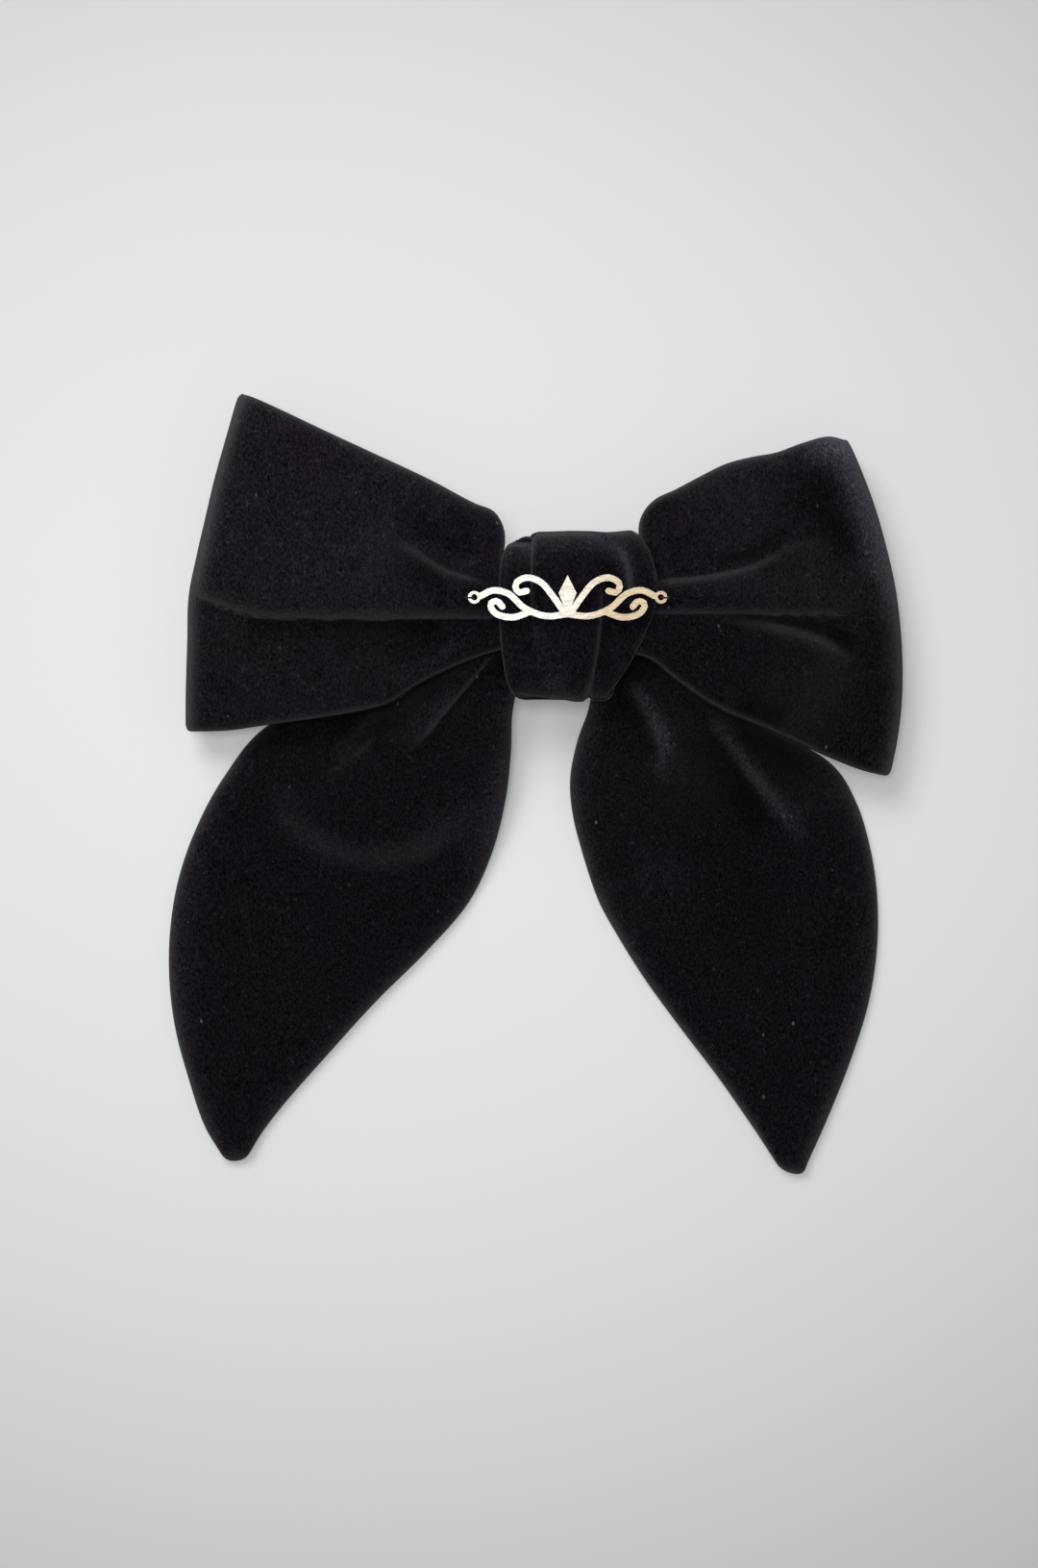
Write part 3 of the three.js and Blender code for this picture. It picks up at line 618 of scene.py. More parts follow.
def gold_material():
    """Pale champagne plating over a plate with fine brushing marks, with a painted reflection that makes it
    whiter towards its left end.
    """
    material, tree, shader = new_material("pale_gold")
    painted_light_and_brushing = noise(tree, object_space(tree, (0.12, 1.0, 1.0)), 5200, 3.0, 0.6)
    cloud = noise(tree, object_space(tree), 90, 2.0, 0.5)
    along = tree.nodes.new("ShaderNodeSeparateXYZ")
    tree.links.new(object_space(tree), along.inputs["Vector"])
    # Painted reflection: nearly white at the plate's left end, warm tan at its right, with a little random
    # cloud.
    place = math_node(tree, "ADD", math_node(tree, "MULTIPLY", along.outputs["X"], 30.0), cloud)
    colours = ((0.380, 0.360, 0.330, 1), (0.296, 0.238, 0.166, 1))
    colour_ramp(tree, shader, place, 0.2, 0.8, colours)
    set_inputs(shader, {"Metallic": 1.0})
    rough = ramp(tree, painted_light_and_brushing, 0.25, 0.8, ((0.30, 0.30, 0.30, 1), (0.48, 0.48, 0.48, 1)))
    tree.links.new(rough, shader.inputs["Roughness"])
    bump(tree, shader, painted_light_and_brushing, 0.12, 0.00004)
    return material


def steel_material():
    material, tree, shader = new_material("nickel_plated_steel")
    painted_light_and_brushing = noise(tree, object_space(tree, (0.05, 1.0, 1.0)), 4200, 4.0, 0.6)
    cloud = noise(tree, object_space(tree), 140, 3.0, 0.6)
    colours = ((0.46, 0.46, 0.47, 1), (0.68, 0.67, 0.66, 1))
    colour_ramp(tree, shader, cloud, 0.3, 0.75, colours)
    set_inputs(shader, {"Metallic": 1.0})
    rough = ramp(tree, painted_light_and_brushing, 0.25, 0.8, ((0.2, 0.2, 0.2, 1), (0.42, 0.42, 0.42, 1)))
    tree.links.new(rough, shader.inputs["Roughness"])
    bump(tree, shader, painted_light_and_brushing, 0.15, 0.00005)
    return material


VELVET = velvet_material()
INTERLINING = weave_material()
FELT = felt_material()
WADDING = wadding_material()
THREAD_BLACK = thread_material()
GOLD = gold_material()
STEEL = steel_material()


def finish_piece(obj, material, slot, body, *nodes):
    obj.data.materials.clear()
    obj.data.materials.append(material)
    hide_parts(*nodes)
    if body:
        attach(obj, body)


# ---- loops
def loop_edges(loop):
    return {k: Line(loop[k]) for k in ("top", "bottom", "fold")} | {"fold_height": loop["fold_height"]}


def patch(edges, u, v):
    """The flat point at shares u (out from the waist) and v (up the loop) between the loop's outlines."""
    bottom, top = edges["bottom"].at(u), edges["top"].at(u)
    b0, b1 = edges["bottom"].at(0.0), edges["bottom"].at(1.0)
    t0, t1 = edges["top"].at(0.0), edges["top"].at(1.0)
    u, v = u[..., None], v[..., None]
    end = edges["fold"].at(v[..., 0])
    ruled = mix(bottom, top, v)
    across = mix(mix(b0, t0, v), end, u)
    flat = mix(mix(b0, b1, u), mix(t0, t1, u), v)
    return ruled + across - flat


LEFT_CREASE = [
    (-93.5, 6.6), (-88, 4.6), (-82, 2.2), (-75, 0.7), (-66, 0.2), (-46, -0.1), (-23, -0.1), (-12, 0.2),
]
LEFT_SHORT = [
    (-19, 7.2), (-24, 7.6), (-28, 8.4), (-32, 10.0), (-36, 12.4), (-40, 15.6), (-43.5, 19.4), (-46, 24),
]
RIGHT_UPPER = [
    (66, 15.6), (60, 17.0), (54.5, 17.2), (50, 15.6), (46.2, 13.2), (40.2, 10.4), (32, 8.4), (22, 7.3),
    (15, 7.2),
]
RIGHT_MIDDLE = [(14, 0.9), (36.8, 1.0), (52.9, 1.1), (62.1, 1.2), (70, 0.8)]
RIGHT_LOWER = [(71, -14.0), (65, -10.4), (56.8, -6.0), (46, -3.2), (36, -1.8), (24, -0.8)]

# Bands of painted highlight (strength above 0) and painted shade (below 0) on the loops' fronts: line,
# strength, widths left and right, fade.
LEFT_LOOP_PAINTED_STROKES = [
    (LEFT_CREASE, 0.6, (1.4, 0.5), (0.1, 0.9)),
    ([(-84, 0.6), (-74, -1.3), (-50, -2.0), (-26, -2.0)], -0.75, (1.0, 3.8)),
    (LEFT_SHORT, -0.35, (0.9, 1.2), (0.1, 0.5)),
    ([(-26, 13), (-33, 17.5), (-39, 23), (-44, 28)], -0.3, (3.0, 3.0), (0.3, 0.4)),
    ([(-30, 5.5), (-38, 9.5), (-44, 14.5), (-48, 18)], -0.4, (2.5, 2.5), (0.3, 0.4)),
    ([(-26, 26.6), (-36, 31.6), (-48, 37.6), (-60, 43)], 0.5, (3.5, 3.5), (0.1, 0.4)),
    ([(-43.5, -19.9), (-60, -23.8), (-75.9, -25.9)], 0.9, (1.0, 1.0), (0.2, 0.1)),
    ([(-20, -8.6), (-33, -13.6), (-43.5, -19.9)], -0.35, (1.2, 1.2), (0.1, 0.2)),
    ([(-23, -4), (-30, -8.4), (-38, -13.6), (-46, -18.6)], 0.6, (2.2, 2.2), (0.2, 0.3)),
]
RIGHT_LOOP_PAINTED_STROKES = [
    (RIGHT_UPPER, -0.1, (1.7, 0.9), (0.3, 0.3)),
    ([(61, 11), (58, 14.5), (54, 16.5)], 0.35, (2.5, 2.5), (0.3, 0.3)),
    ([(28, 11.4), (36, 13.2), (42, 15.4), (47, 18.6), (51, 21.5)], -0.75, (1.6, 1.4), (0.4, 0.2)),
    ([(52, 34), (60, 32), (65, 25), (67, 17), (67, 11)], -0.75, (4.5, 5.5), (0.25, 0.3)),
    ([(50, 31), (55, 26), (61, 20), (66, 14)], -0.45, (5.5, 4.5), (0.1, 0.1)),
    ([(24, 29), (35.3, 35), (41.3, 36.7), (47.3, 38), (53.5, 40)], 0.7, (2.8, 2.8), (0.3, 0.1)),
    ([(50, 40.5), (58, 41.5), (64, 40), (67, 35)], 4.6, (4.5, 4.5), (0.4, 0.3)),
    ([(28, 19), (38, 25), (48, 29)], 0.35, (6.0, 6.0), (0.3, 0.3)),
    (RIGHT_MIDDLE, 0.8, (0.8, 0.6), (0.1, 0.2)),
    ([(30, -0.4), (44, -0.9), (56, -2.4), (64, -5.4), (69, -10)], -0.75, (1.6, 2.4), (0.3, 0.2)),
    (RIGHT_LOWER, 0.2, (2.6, 1.2), (0.25, 0.3)),
    ([(52, -14), (62, -19), (66, -27)], 0.05, (5.0, 5.0), (0.3, 0.3)),
    ([(37, -20.5), (43, -22.5), (50, -25)], -0.75, (2.6, 2.6), (0.2, 0.2)),
    ([(17.5, -10.9), (23, -15.1), (33.4, -22.1), (46, -27.4), (62.1, -34.5)], 0.9, (1.0, 1.0), (0.1, 0.1)),
]


# Painted light on the left loop's front: a lighter field above the crease, painted sheen along the fold edge,
# and the painted bands.
def left_loop_painted_light(xy):
    x = xy[..., 0]
    above, _ = line_distance(xy, Line(LEFT_CREASE, FOLD_STEPS))
    upper = mix(0.72, 0.32, ease((x + 52) / 26))
    lower = mix(0.35, -0.05, ease((x + 70) / 40))
    field = mix(lower, upper, ease((above + 1.0) / 3.0))
    to_fold = np.abs(line_distance(xy, Line(LEFT_LOOP["fold"], FOLD_STEPS))[0])
    edge = mix(0.3, 0.45, ease((xy[..., 1] + 6) / 20)) * np.exp(-((to_fold / 7.5) ** 2))
    return field + edge + painted_light_from(xy, LEFT_LOOP_PAINTED_STROKES)


# Painted light on the right loop's front: lighter above the middle, a strong painted sheen along the fold
# edge towards the top, and the painted bands.
def right_loop_painted_light(xy):
    y = xy[..., 1]
    field = mix(0.0, 0.35, ease((y + 4) / 8))
    to_fold = np.abs(line_distance(xy, Line(RIGHT_LOOP["fold"], FOLD_STEPS))[0])
    bright = ease((y + 6) / 26)
    edge = mix(0.8, 6.4, bright) * np.exp(-((to_fold / mix(3.0, 5.0, bright)) ** 2))
    return field + edge + painted_light_from(xy, RIGHT_LOOP_PAINTED_STROKES)


def left_front_folds(xy):
    z = roll(xy, LEFT_CREASE, 2.0, 3.2, 16, (0.02, 0.05))
    z += step_up(xy, LEFT_SHORT, 1.5, 0.8, 12, (0.25, 0.4))
    z -= ridge(xy, [(-24, 12.5), (-33, 16.4), (-40, 22)], 0.8, 3.0, (0.1, 0.3))
    z -= ridge(xy, [(-28, -2.5), (-46, -2.4), (-70, -2.2)], 0.5, 2.4, (0.1, 0.3))
    z += 0.5 * wander(xy, 46, 3)
    return z - 1.2


def right_front_folds(xy):
    z = step_up(xy, RIGHT_UPPER, 1.5, 0.9, 14, (0.45, 0.05))
    z += roll(xy, RIGHT_MIDDLE, 1.3, 1.5, 6, (0.02, 0.2))
    z += step_up(xy, RIGHT_LOWER, 2.2, 1.5, 17, (0.35, 0.5))
    z += ridge(xy, [(24, 20), (38, 25), (50, 28)], 1.0, 5.0, (0.1, 0.6))
    z += 0.5 * wander(xy, 46, 5)
    return z - 1.2


def back_folds(xy):
    return 0.3 * wander(xy, 40, 11)


def loop_surface(loop, way, v, front_folds, front_painted_light):
    """The middle of the cloth, with its painted highlight and shade as a fourth value.
    way runs from the waist behind (-1) round the fold (0) to the waist in front (1)."""
    edges = loop_edges(loop)
    far = np.abs(way)
    front = way > 0
    most = np.where(front, mix(FRONT_HALF[0], FRONT_HALF[1], v), mix(BACK_HALF[0], BACK_HALF[1], v))
    start = read_table(loop["round_from"], v)
    share = LOOP_ROUND_REACH * (1 - start)
    turn = np.clip(far / share, 0, 1) * math.pi / 2
    straight = start * (1 - far) / (1 - share)
    u = np.where(far < share, start + (1 - start) * np.cos(turn), straight)
    opened = mix(WAIST_HALF, most, ease((u - OPENS_FROM) / (OPENS_UNTIL - OPENS_FROM)))
    half = np.where(far < share, most * np.sin(turn), opened)
    xy = patch(edges, u, v)
    fold = mix(edges["fold_height"][0], edges["fold_height"][1], v)
    drop = ease((u - WAIST_UNTIL) / (1 - WAIST_UNTIL))
    z = mix(WAIST_MIDDLE, fold, drop) + np.sign(way) * half
    span = np.linalg.norm(edges["top"].at(u) - edges["bottom"].at(u), axis=-1)
    z -= np.sign(way) * (TOP_DROP * np.exp(-(1 - v) * span / 2.0) + LOW_DROP * np.exp(-v * span / 1.2))
    strength = ease(far / share * 0.9)
    clear_of_knot = ease((np.abs(xy[..., 0]) - 14) / 9)
    folds = np.where(front, front_folds(xy), back_folds(xy))
    z = z + folds * strength * clear_of_knot
    painted_light_and_brushing = front_painted_light(xy) * ease(way / 0.01 + 0.5)
    return np.concatenate([xy, z[..., None], painted_light_and_brushing[..., None]], axis=-1)


def strip_surface(along_count, across_count):
    u = np.linspace(0, 1, along_count)
    v = spread(across_count)
    along = mix(STRIP_GAP, 1 - STRIP_GAP, u)
    left_way = 4 * along[along < 0.5] - 1
    right_way = 3 - 4 * along[along >= 0.5]
    parts = []
    for loop, ways, folds, painted_light_and_brushing in (
        (LEFT_LOOP, left_way, left_front_folds, left_loop_painted_light),
        (RIGHT_LOOP, right_way, right_front_folds, right_loop_painted_light),
    ):
        way, across = np.meshgrid(ways, v, indexing="ij")
        parts.append(loop_surface(loop, way, across, folds, painted_light_and_brushing))
    both = np.vstack(parts)
    return both[..., :3], both[..., 3]


def edge_distance(surface):
    """For each point of a grid, its distance to the nearer long edge, along its own row."""
    step = np.linalg.norm(np.diff(surface, axis=1), axis=-1)
    run = np.concatenate([np.zeros((len(surface), 1)), np.cumsum(step, axis=1)], axis=1)
    return np.minimum(run, run[:, -1:] - run)


def rounding(distance, radius):
    left = 1 - np.clip(distance / radius, 0, 1)
    return np.sqrt(np.clip(1 - left * left, 0, 1))


def seam_profile(distance, half):
    """The cloth's half thickness near a sewn edge, where it rounds over."""
    return np.maximum(half * rounding(distance, SEAM_ROUND), THINNEST)


def build_loops():
    surface, painted_light_and_brushing = strip_surface(*STRIP_GRID)
    n = normals(surface)
    half = seam_profile(edge_distance(surface), STRIP_HALF)[..., None]
    gap = np.minimum(MIDDLE_GAP, half * 0.5)
    outer = shell("loop_velvet_outer", surface + n * half, surface + n * gap, painted_light_and_brushing=painted_light_and_brushing)
    inner = shell("loop_velvet_inner", (surface - n * gap)[::2], (surface - n * half)[::2])
    stiff_high = (surface + n * INTERLINING_HALF)[::4, 3:-3:4]
    stiff_low = (surface - n * INTERLINING_HALF)[::4, 3:-3:4]
    lining = shell("loop_interlining_sheet", stiff_high, stiff_low)
    finish_piece(outer, VELVET, "velvet", "bow", "loop_outer_velvet")
    finish_piece(inner, VELVET, "velvet", "bow", "loop_inner_velvet")
    finish_piece(lining, INTERLINING, "interlining", "bow", "loop_interlining")


# ---- knot
KNOT_RIGHT = [
    (21.2, 12.6), (20.4, 15.0), (17, 17.6), (12, 18.8), (8, 19.0), (0, 18.2), (-6.4, 15.4), (-12, 12.3),
    (-16.8, 9.0), (-20, 5.6),
]
KNOT_LEFT = [
    (20, -17.4), (19, -18.0), (16, -18.4), (8, -18.6), (0, -18.6), (-8, -18.1), (-15, -17.2),
    (-19.8, -16.4),
]
KNOT_TOP = [
    (-19.5, 15.8), (-18.4, 16.7), (-16.2, 17.3), (-14, 17.5), (-12, 17.4), (-11.2, 16.8), (-10.8, 17.4),
    (-10.3, 18.9), (-9.2, 19.7), (-6, 19.8), (-2, 20.1), (3, 20.0), (7.0, 19.5), (9.5, 19.8), (12.5, 20.3),
    (14.6, 19.8), (17, 17.6), (19, 15),
]
KNOT_BOTTOM = [
    (-19, -19.2), (-15, -20.2), (-8, -20.0), (-3, -20.2), (-0.5, -20.9), (1.2, -20.9), (2.2, -19.4),
    (2.9, -18.9), (3.8, -20.6), (7, -20.6), (19, -20.0),
]
KNOT_MAIN_RIGHT = [(2.5, -21), (3.8, -13), (4.7, -8), (5.3, -2), (5.5, 6), (5.6, 12)]
KNOT_MAIN_LEFT = [(-10.4, 21), (-10.6, 12), (-10.6, 0), (-9.8, -9)]
KNOT_CREST = [(4.4, 20.4), (8.0, 18.0), (10.8, 14.6), (12.2, 10.5), (12.6, 5), (11.8, -2)]

# Bands of painted highlight (strength above 0) and painted shade (below 0) on the knot's front.
KNOT_PAINTED_STROKES = [
    ([(-19, 15), (-14, 16), (-9, 18), (-2, 18.4), (7, 18)], 1.1, (2.6, 3.4), (0.1, 0.2)),
    (KNOT_CREST, 1.0, (1.8, 2.2), (0.05, 0.4)),
    ([(2.5, 19.6), (6.2, 17.8), (9.0, 15.4), (10.8, 12.4), (11.4, 9.0)], 1.7, (1.6, 2.2), (0.25, 0.35)),
    ([(13.6, 18), (15, 13), (15.6, 8)], -0.35, (1.6, 1.6)),
    ([(7.6, 15.5), (8.0, 10), (8.2, 4)], -0.4, (2.2, 2.2)),
    ([(14, 20.6), (16.5, 18), (17.8, 14), (18.4, 10), (18.4, 5)], 0.9, (1.0, 1.0)),
    ([(5.4, 0), (4.6, -8), (3.8, -13), (2.6, -18)], 0.2, (0.7, 0.7), (0.1, 0.1)),
    ([(7.5, 0), (6.6, -8), (5.5, -15)], -0.35, (2.0, 2.0)),
    ([(17.2, -2), (14, -10), (10.6, -17), (6, -22)], 0.8, (1.0, 1.0)),
    ([(-9, -12), (-5, -15.5), (-2, -17)], 0.75, (3.5, 3.5), (0.4, 0.2)),
    ([(-9.8, -2), (-9.4, -9)], 0.5, (0.9, 0.9), (0.2, 0.4)),
]


def knot_surface(around_count, across_count):
    u = np.linspace(0, 1, around_count)
    v = spread(across_count, 0.4)
    u, v = np.meshgrid(u, v, indexing="ij")
    turn = 2 * math.pi * mix(BAND_GAP, 1 - BAND_GAP, u)
    sideways = rounded_power(np.sin(turn), 0.62)
    forward = rounded_power(-np.cos(turn), 0.75)
    in_front = ease((forward + 1) / 2)
    level = 20 * sideways
    left = mix(-BAND_BACK_HALF, read_table(KNOT_LEFT, level), in_front)
    right = mix(BAND_BACK_HALF, read_table(KNOT_RIGHT, level), in_front)
    x = mix(left, right, v)
    rough_top = read_table(KNOT_TOP, x)
    rough_low = read_table(KNOT_BOTTOM, x)
    half = np.where(sideways > 0, mix(19.0, rough_top - 0.9, in_front), mix(19.6, -rough_low, in_front))
    y = BAND_CENTRE_Y + half * sideways
    z = BAND_MIDDLE + BAND_HALF_DEPTH * forward
    surface = np.stack([x, y, z], axis=-1)
    xy = surface[..., :2]
    front = ease(2.2 * forward)
    folds = roll(xy, KNOT_MAIN_RIGHT, 1.1, 1.3, 12, (0.02, 0.4))
    folds += roll(xy, KNOT_MAIN_LEFT, 0.65, 1.4, 60, (0.02, 0.5))
    folds += step_up(xy, KNOT_CREST, 2.4, 1.0, 14, (0.05, 0.4))
    folds += ridge(xy, [(-15, 17), (-15.2, 4), (-14.6, -10)], 1.2, 3.0, (0.05, 0.3))
    folds += ridge(xy, [(-3, 20), (-3, 5), (-4, -8), (-4.5, -14)], 0.8, 6.0, (0.05, 0.2))
    folds += 0.22 * wander(xy, 16, 17)
    surface[..., 2] += (folds - 2.1) * front
    # The fourth value is painted highlight and shade, on the knot's front only.
    return surface, (0.2 + painted_light_from(xy, KNOT_PAINTED_STROKES)) * ease(4 * forward)


def build_knot():
    surface, painted_light_and_brushing = knot_surface(*BAND_GRID)
    n = normals(surface)
    if n[BAND_GRID[0] // 2, BAND_GRID[1] // 2, 2] < 0:
        n = -n
    half = BAND_HALF * rounding(edge_distance(surface), 1.0)[..., None] + 0.03
    band = shell("knot_velvet", surface + n * half, surface - n * half, painted_light_and_brushing=painted_light_and_brushing)
    finish_piece(band, VELVET, "velvet", "bow", "knot_band")


def build_wadding():
    """The soft lumpy pad inside the waist."""
    around = np.linspace(0, 2 * math.pi, 64, endpoint=False)
    down = np.linspace(0.02, math.pi - 0.02, 33)
    u, v = np.meshgrid(around, down, indexing="ij")
    lump = 1 + 0.05 * np.sin(5 * u) * np.sin(3 * v) + 0.04 * np.sin(9 * u + 2 * v)
    x = 10.6 * np.sin(v) * np.cos(u) * lump
    y = 0.7 + 7.2 * np.sin(v) * np.sin(u) * lump
    z = WAIST_MIDDLE + 0.85 * np.cos(v) * (1 + 0.08 * np.sin(7 * u))
    grid = np.stack([x, y, z], axis=-1)
    rows, columns = grid.shape[:2]
    count = rows * columns
    poles = [(0, 0.7, WAIST_MIDDLE + 0.86), (0, 0.7, WAIST_MIDDLE - 0.86)]
    verts = np.vstack([grid.reshape(-1, 3), poles])
    faces = ring_faces(rows, columns)
    for i in range(rows):
        k = (i + 1) % rows
        faces.append((i * columns, k * columns, count))
        faces.append((k * columns + columns - 1, i * columns + columns - 1, count + 1))
    pad = new_object("knot_wadding_pad", verts, faces)
    finish_piece(pad, WADDING, "wadding", "bow", "knot_wadding")


# ---- tails
def tail_floor(distance):
    return mix(ROOT_LOW, TAIL_REST, ease((distance - RISE_TO) / (RISE_FROM - RISE_TO)))


LEFT_TAIL_TUCK = [(-44, -37), (-40, -32.5), (-35.6, -28), (-31, -22.6), (-26, -16.6), (-20, -9.2), (-17, -6)]
LEFT_TAIL_SLOPE = [(-38, -14), (-46, -21), (-52, -26.5), (-56.4, -31.5), (-57.5, -40)]
LEFT_TAIL_CRESCENT = [
    (-79, -26), (-76, -35), (-71.5, -45), (-65, -51.5), (-55, -57), (-44, -57.5), (-34, -54), (-25, -45),
    (-19, -33),
]
RIGHT_TAIL_INNER_FOLD = [(11.5, -10), (13.6, -17), (18.0, -24), (20.4, -31), (18.8, -38), (15, -43)]
RIGHT_TAIL_OUTER_FOLD = [(20, -11), (30, -22), (36, -29), (43, -38), (50, -46.5), (56, -57)]
RIGHT_TAIL_HOLLOW = [(31, -64), (20, -66.5), (8, -60)]


def left_tail_folds(xy):
    z = roll(xy, LEFT_TAIL_TUCK, 3.2, 5.6, 9, (0.45, 0.02))
    z += step_up(xy, LEFT_TAIL_SLOPE, 1.1, 1.4, 12, (0.2, 0.6))
    z += step_up(xy, LEFT_TAIL_CRESCENT, 3.6, 3.4, 26, (0.45, 0.4))
    return z + 0.4 * wander(xy, 60, 21)


def right_tail_folds(xy):
    z = step_up(xy, RIGHT_TAIL_INNER_FOLD, 2.2, 1.5, 15, (0.05, 0.4))
    z += step_up(xy, RIGHT_TAIL_OUTER_FOLD, 2.8, 1.6, 17, (0.05, 0.35))
    z += step_up(xy, RIGHT_TAIL_HOLLOW, 1.2, 3.5, 16, (0.3, 0.3))
    return z + 0.4 * wander(xy, 60, 23)


# Bands of painted highlight (strength above 0) and painted shade (below 0) on the tails' fronts.
LEFT_TAIL_PAINTED_STROKES = [
    ([(-18, -7), (-24.5, -12.5), (-29.5, -18), (-34, -23.5), (-38, -28), (-42, -33)],
     1.5, (2.0, 2.6), (0.1, 0.4)),
    ([(-24, -15.5), (-29, -21), (-34, -27.5), (-38, -33)], -0.4, (1.6, 1.2), (0.2, 0.3)),
    ([(-38, -15), (-46, -21.5), (-52, -27), (-56.4, -31), (-57.4, -38)], 0.5, (1.3, 1.3), (0.2, 0.4)),
    ([(-47, -24), (-54, -25.5), (-60, -29)], -0.45, (3.5, 3.5), (0.3, 0.4)),
    ([(-73, -42), (-70, -47.5), (-65, -52.5), (-58, -56.5), (-50, -58), (-42, -57.5), (-35, -54),
      (-28, -47.5), (-20, -40)], 0.55, (4.2, 2.8), (0.15, 0.4)),
    ([(-86, -42), (-93, -56), (-96.5, -76), (-95.5, -96), (-91, -112)], 0.5, (5.5, 5.5), (0.2, 0.3)),
    ([(-40, -51), (-31, -50), (-22, -43)], 0.35, (5.5, 5.5), (0.3, 0.2)),
    ([(-17, -28), (-18, -40), (-21, -52), (-27, -63)], 1.0, (3.8, 3.8), (0.3, 0.4)),
]
RIGHT_TAIL_PAINTED_STROKES = [
    ([(12, -14), (16, -19.5), (20, -26), (21.6, -32), (20, -37), (17, -42)], 2.3, (1.5, 2.2), (0.15, 0.45)),
    ([(18.5, -24), (21.5, -30), (21, -36)], 0.9, (2.6, 2.6), (0.3, 0.4)),
    ([(10, -17), (14.5, -24), (17, -31), (16, -37)], -0.4, (2.2, 2.2), (0.2, 0.3)),
    ([(30, -22), (36, -29), (42, -37), (48, -44.5), (53, -51), (56, -57)], 2.1, (2.1, 1.6), (0.15, 0.45)),
    ([(46, -42), (52, -49), (56, -56)], 0.9, (2.6, 2.6), (0.4, 0.4)),
    ([(29, -25), (35, -34), (42, -44), (48, -53)], -0.75, (3.0, 4.5), (0.2, 0.3)),
    ([(36, -25), (46, -31.5), (58, -40)], -0.75, (4.0, 4.0), (0.2, 0.3)),
    ([(24, -22), (28, -32), (29, -40)], -0.15, (3.0, 3.0), (0.2, 0.3)),
    ([(9, -15), (5, -20), (3, -27), (0.5, -36)], 1.0, (2.6, 2.6), (0.1, 0.5)),
    ([(10, -58), (20, -62), (30, -64)], 0.4, (6.0, 6.0), (0.3, 0.3)),
    ([(28, -36), (34, -50), (40, -70), (46, -90)], -0.2, (9.0, 9.0), (0.2, 0.3)),
]


# Painted sheen along the tail's outline, plus the painted bands.
def tail_painted_light(xy, gap, painted_strokes):
    return 0.8 * np.exp(-((gap / 4.2) ** 2)) + painted_light_from(xy, painted_strokes)


def outline_distance(surface):
    """Distance to the tail's whole outline: its long edges and its tip."""
    sides = edge_distance(surface)
    step = np.linalg.norm(np.diff(surface, axis=0), axis=-1)
    run = np.concatenate([np.zeros((1, surface.shape[1])), np.cumsum(step, axis=0)], axis=0)
    return np.minimum(sides, run[-1:] - run)


def tail_surface(tail, folds, along_count, across_count):
    inner, outer = Line(tail["inner"]), Line(tail["outer"])
    u = np.linspace(0, 1, along_count)
    u = mix(u, np.sin(u * math.pi / 2), 0.35)
    v = spread(across_count, 0.6)
    u, v = np.meshgrid(u, v, indexing="ij")
    xy = mix(inner.by_index(u), outer.by_index(u), v[..., None])
    crown = ease((u - 0.9) / 0.1)
    tip = xy[-1, :, :].mean(axis=0)
    outwards = tip - xy[-12, :, :].mean(axis=0)
    outwards = outwards / np.linalg.norm(outwards)
    bulge = crown * np.sqrt(np.clip(1 - (2 * v - 1) ** 2, 0, 1)) * TIP_CROWN
    xy = xy + bulge[..., None] * outwards
    distance = np.hypot(xy[..., 0] - tail["pivot"][0], xy[..., 1] - tail["pivot"][1])
    z = tail_floor(distance) + TAIL_HALF
    surface = np.concatenate([xy, z[..., None]], axis=-1)
    lift = folds(xy) * ease((distance - 9) / 12)
    return surface, lift


TAIL_EXTRAS = {
    "left": (LEFT_TAIL_CUT, LEFT_TAIL_PAINTED_STROKES, LEFT_LOOP),
    "right": (RIGHT_TAIL_CUT, RIGHT_TAIL_PAINTED_STROKES, RIGHT_LOOP),
}


def build_tail(side, tail, folds):
    cut, painted_strokes, loop = TAIL_EXTRAS[side]
    surface, lift = tail_surface(tail, folds, *TAIL_GRID)
    gap = outline_distance(surface)
    half = TAIL_HALF * rounding(gap, TAIL_ROUND) + THINNEST
    under, _ = line_distance(surface[..., :2], Line(loop["bottom"]))
    beyond = tail["below"] * under
    room = ROOM_UNDER_LOOP + ROOM_SLOPE * np.clip(beyond, 0, None)
    lift = room * np.tanh(lift / room)
    swell = TAIL_SWELL * (1 - np.exp(-gap / 3.2)) * ease(beyond / 12)
    up = np.zeros_like(surface)
    up[..., 2] = 1
    inside = rounding(gap, 8.0)
    lift = lift * inside + swell
    top = surface + up * (half + np.maximum(lift, -0.5))[..., None]
    from_middle = up * np.minimum(TAIL_MIDDLE_GAP, half * 0.5)[..., None]
    middle_high = surface + from_middle
    middle_low = surface - from_middle
    bottom = surface - up * np.minimum(half, TAIL_HALF)[..., None]
    painted_light_and_brushing = tail_painted_light(surface[..., :2], gap, painted_strokes)
    front = shell(f"{side}_tail_velvet_front", top, middle_high, painted_light_and_brushing=painted_light_and_brushing)
    back = shell(f"{side}_tail_velvet_back", middle_low[::2, ::2], bottom[::2, ::2])
    stiff_high = (surface + up * TAIL_INTERLINING_HALF)[2:-4:3, 3:-3:2]
    stiff_low = (surface - up * TAIL_INTERLINING_HALF)[2:-4:3, 3:-3:2]
    layer = shell(f"{side}_tail_interlining_sheet", stiff_high, stiff_low)
    for piece, material, slot, cad in (
        (front, VELVET, "velvet", f"{side}_tail_front"),
        (back, VELVET, "velvet", f"{side}_tail_back"),
        (layer, INTERLINING, "interlining", f"{side}_tail_interlining"),
    ):
        finish_piece(piece, material, slot, None, cad)
        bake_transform(piece)


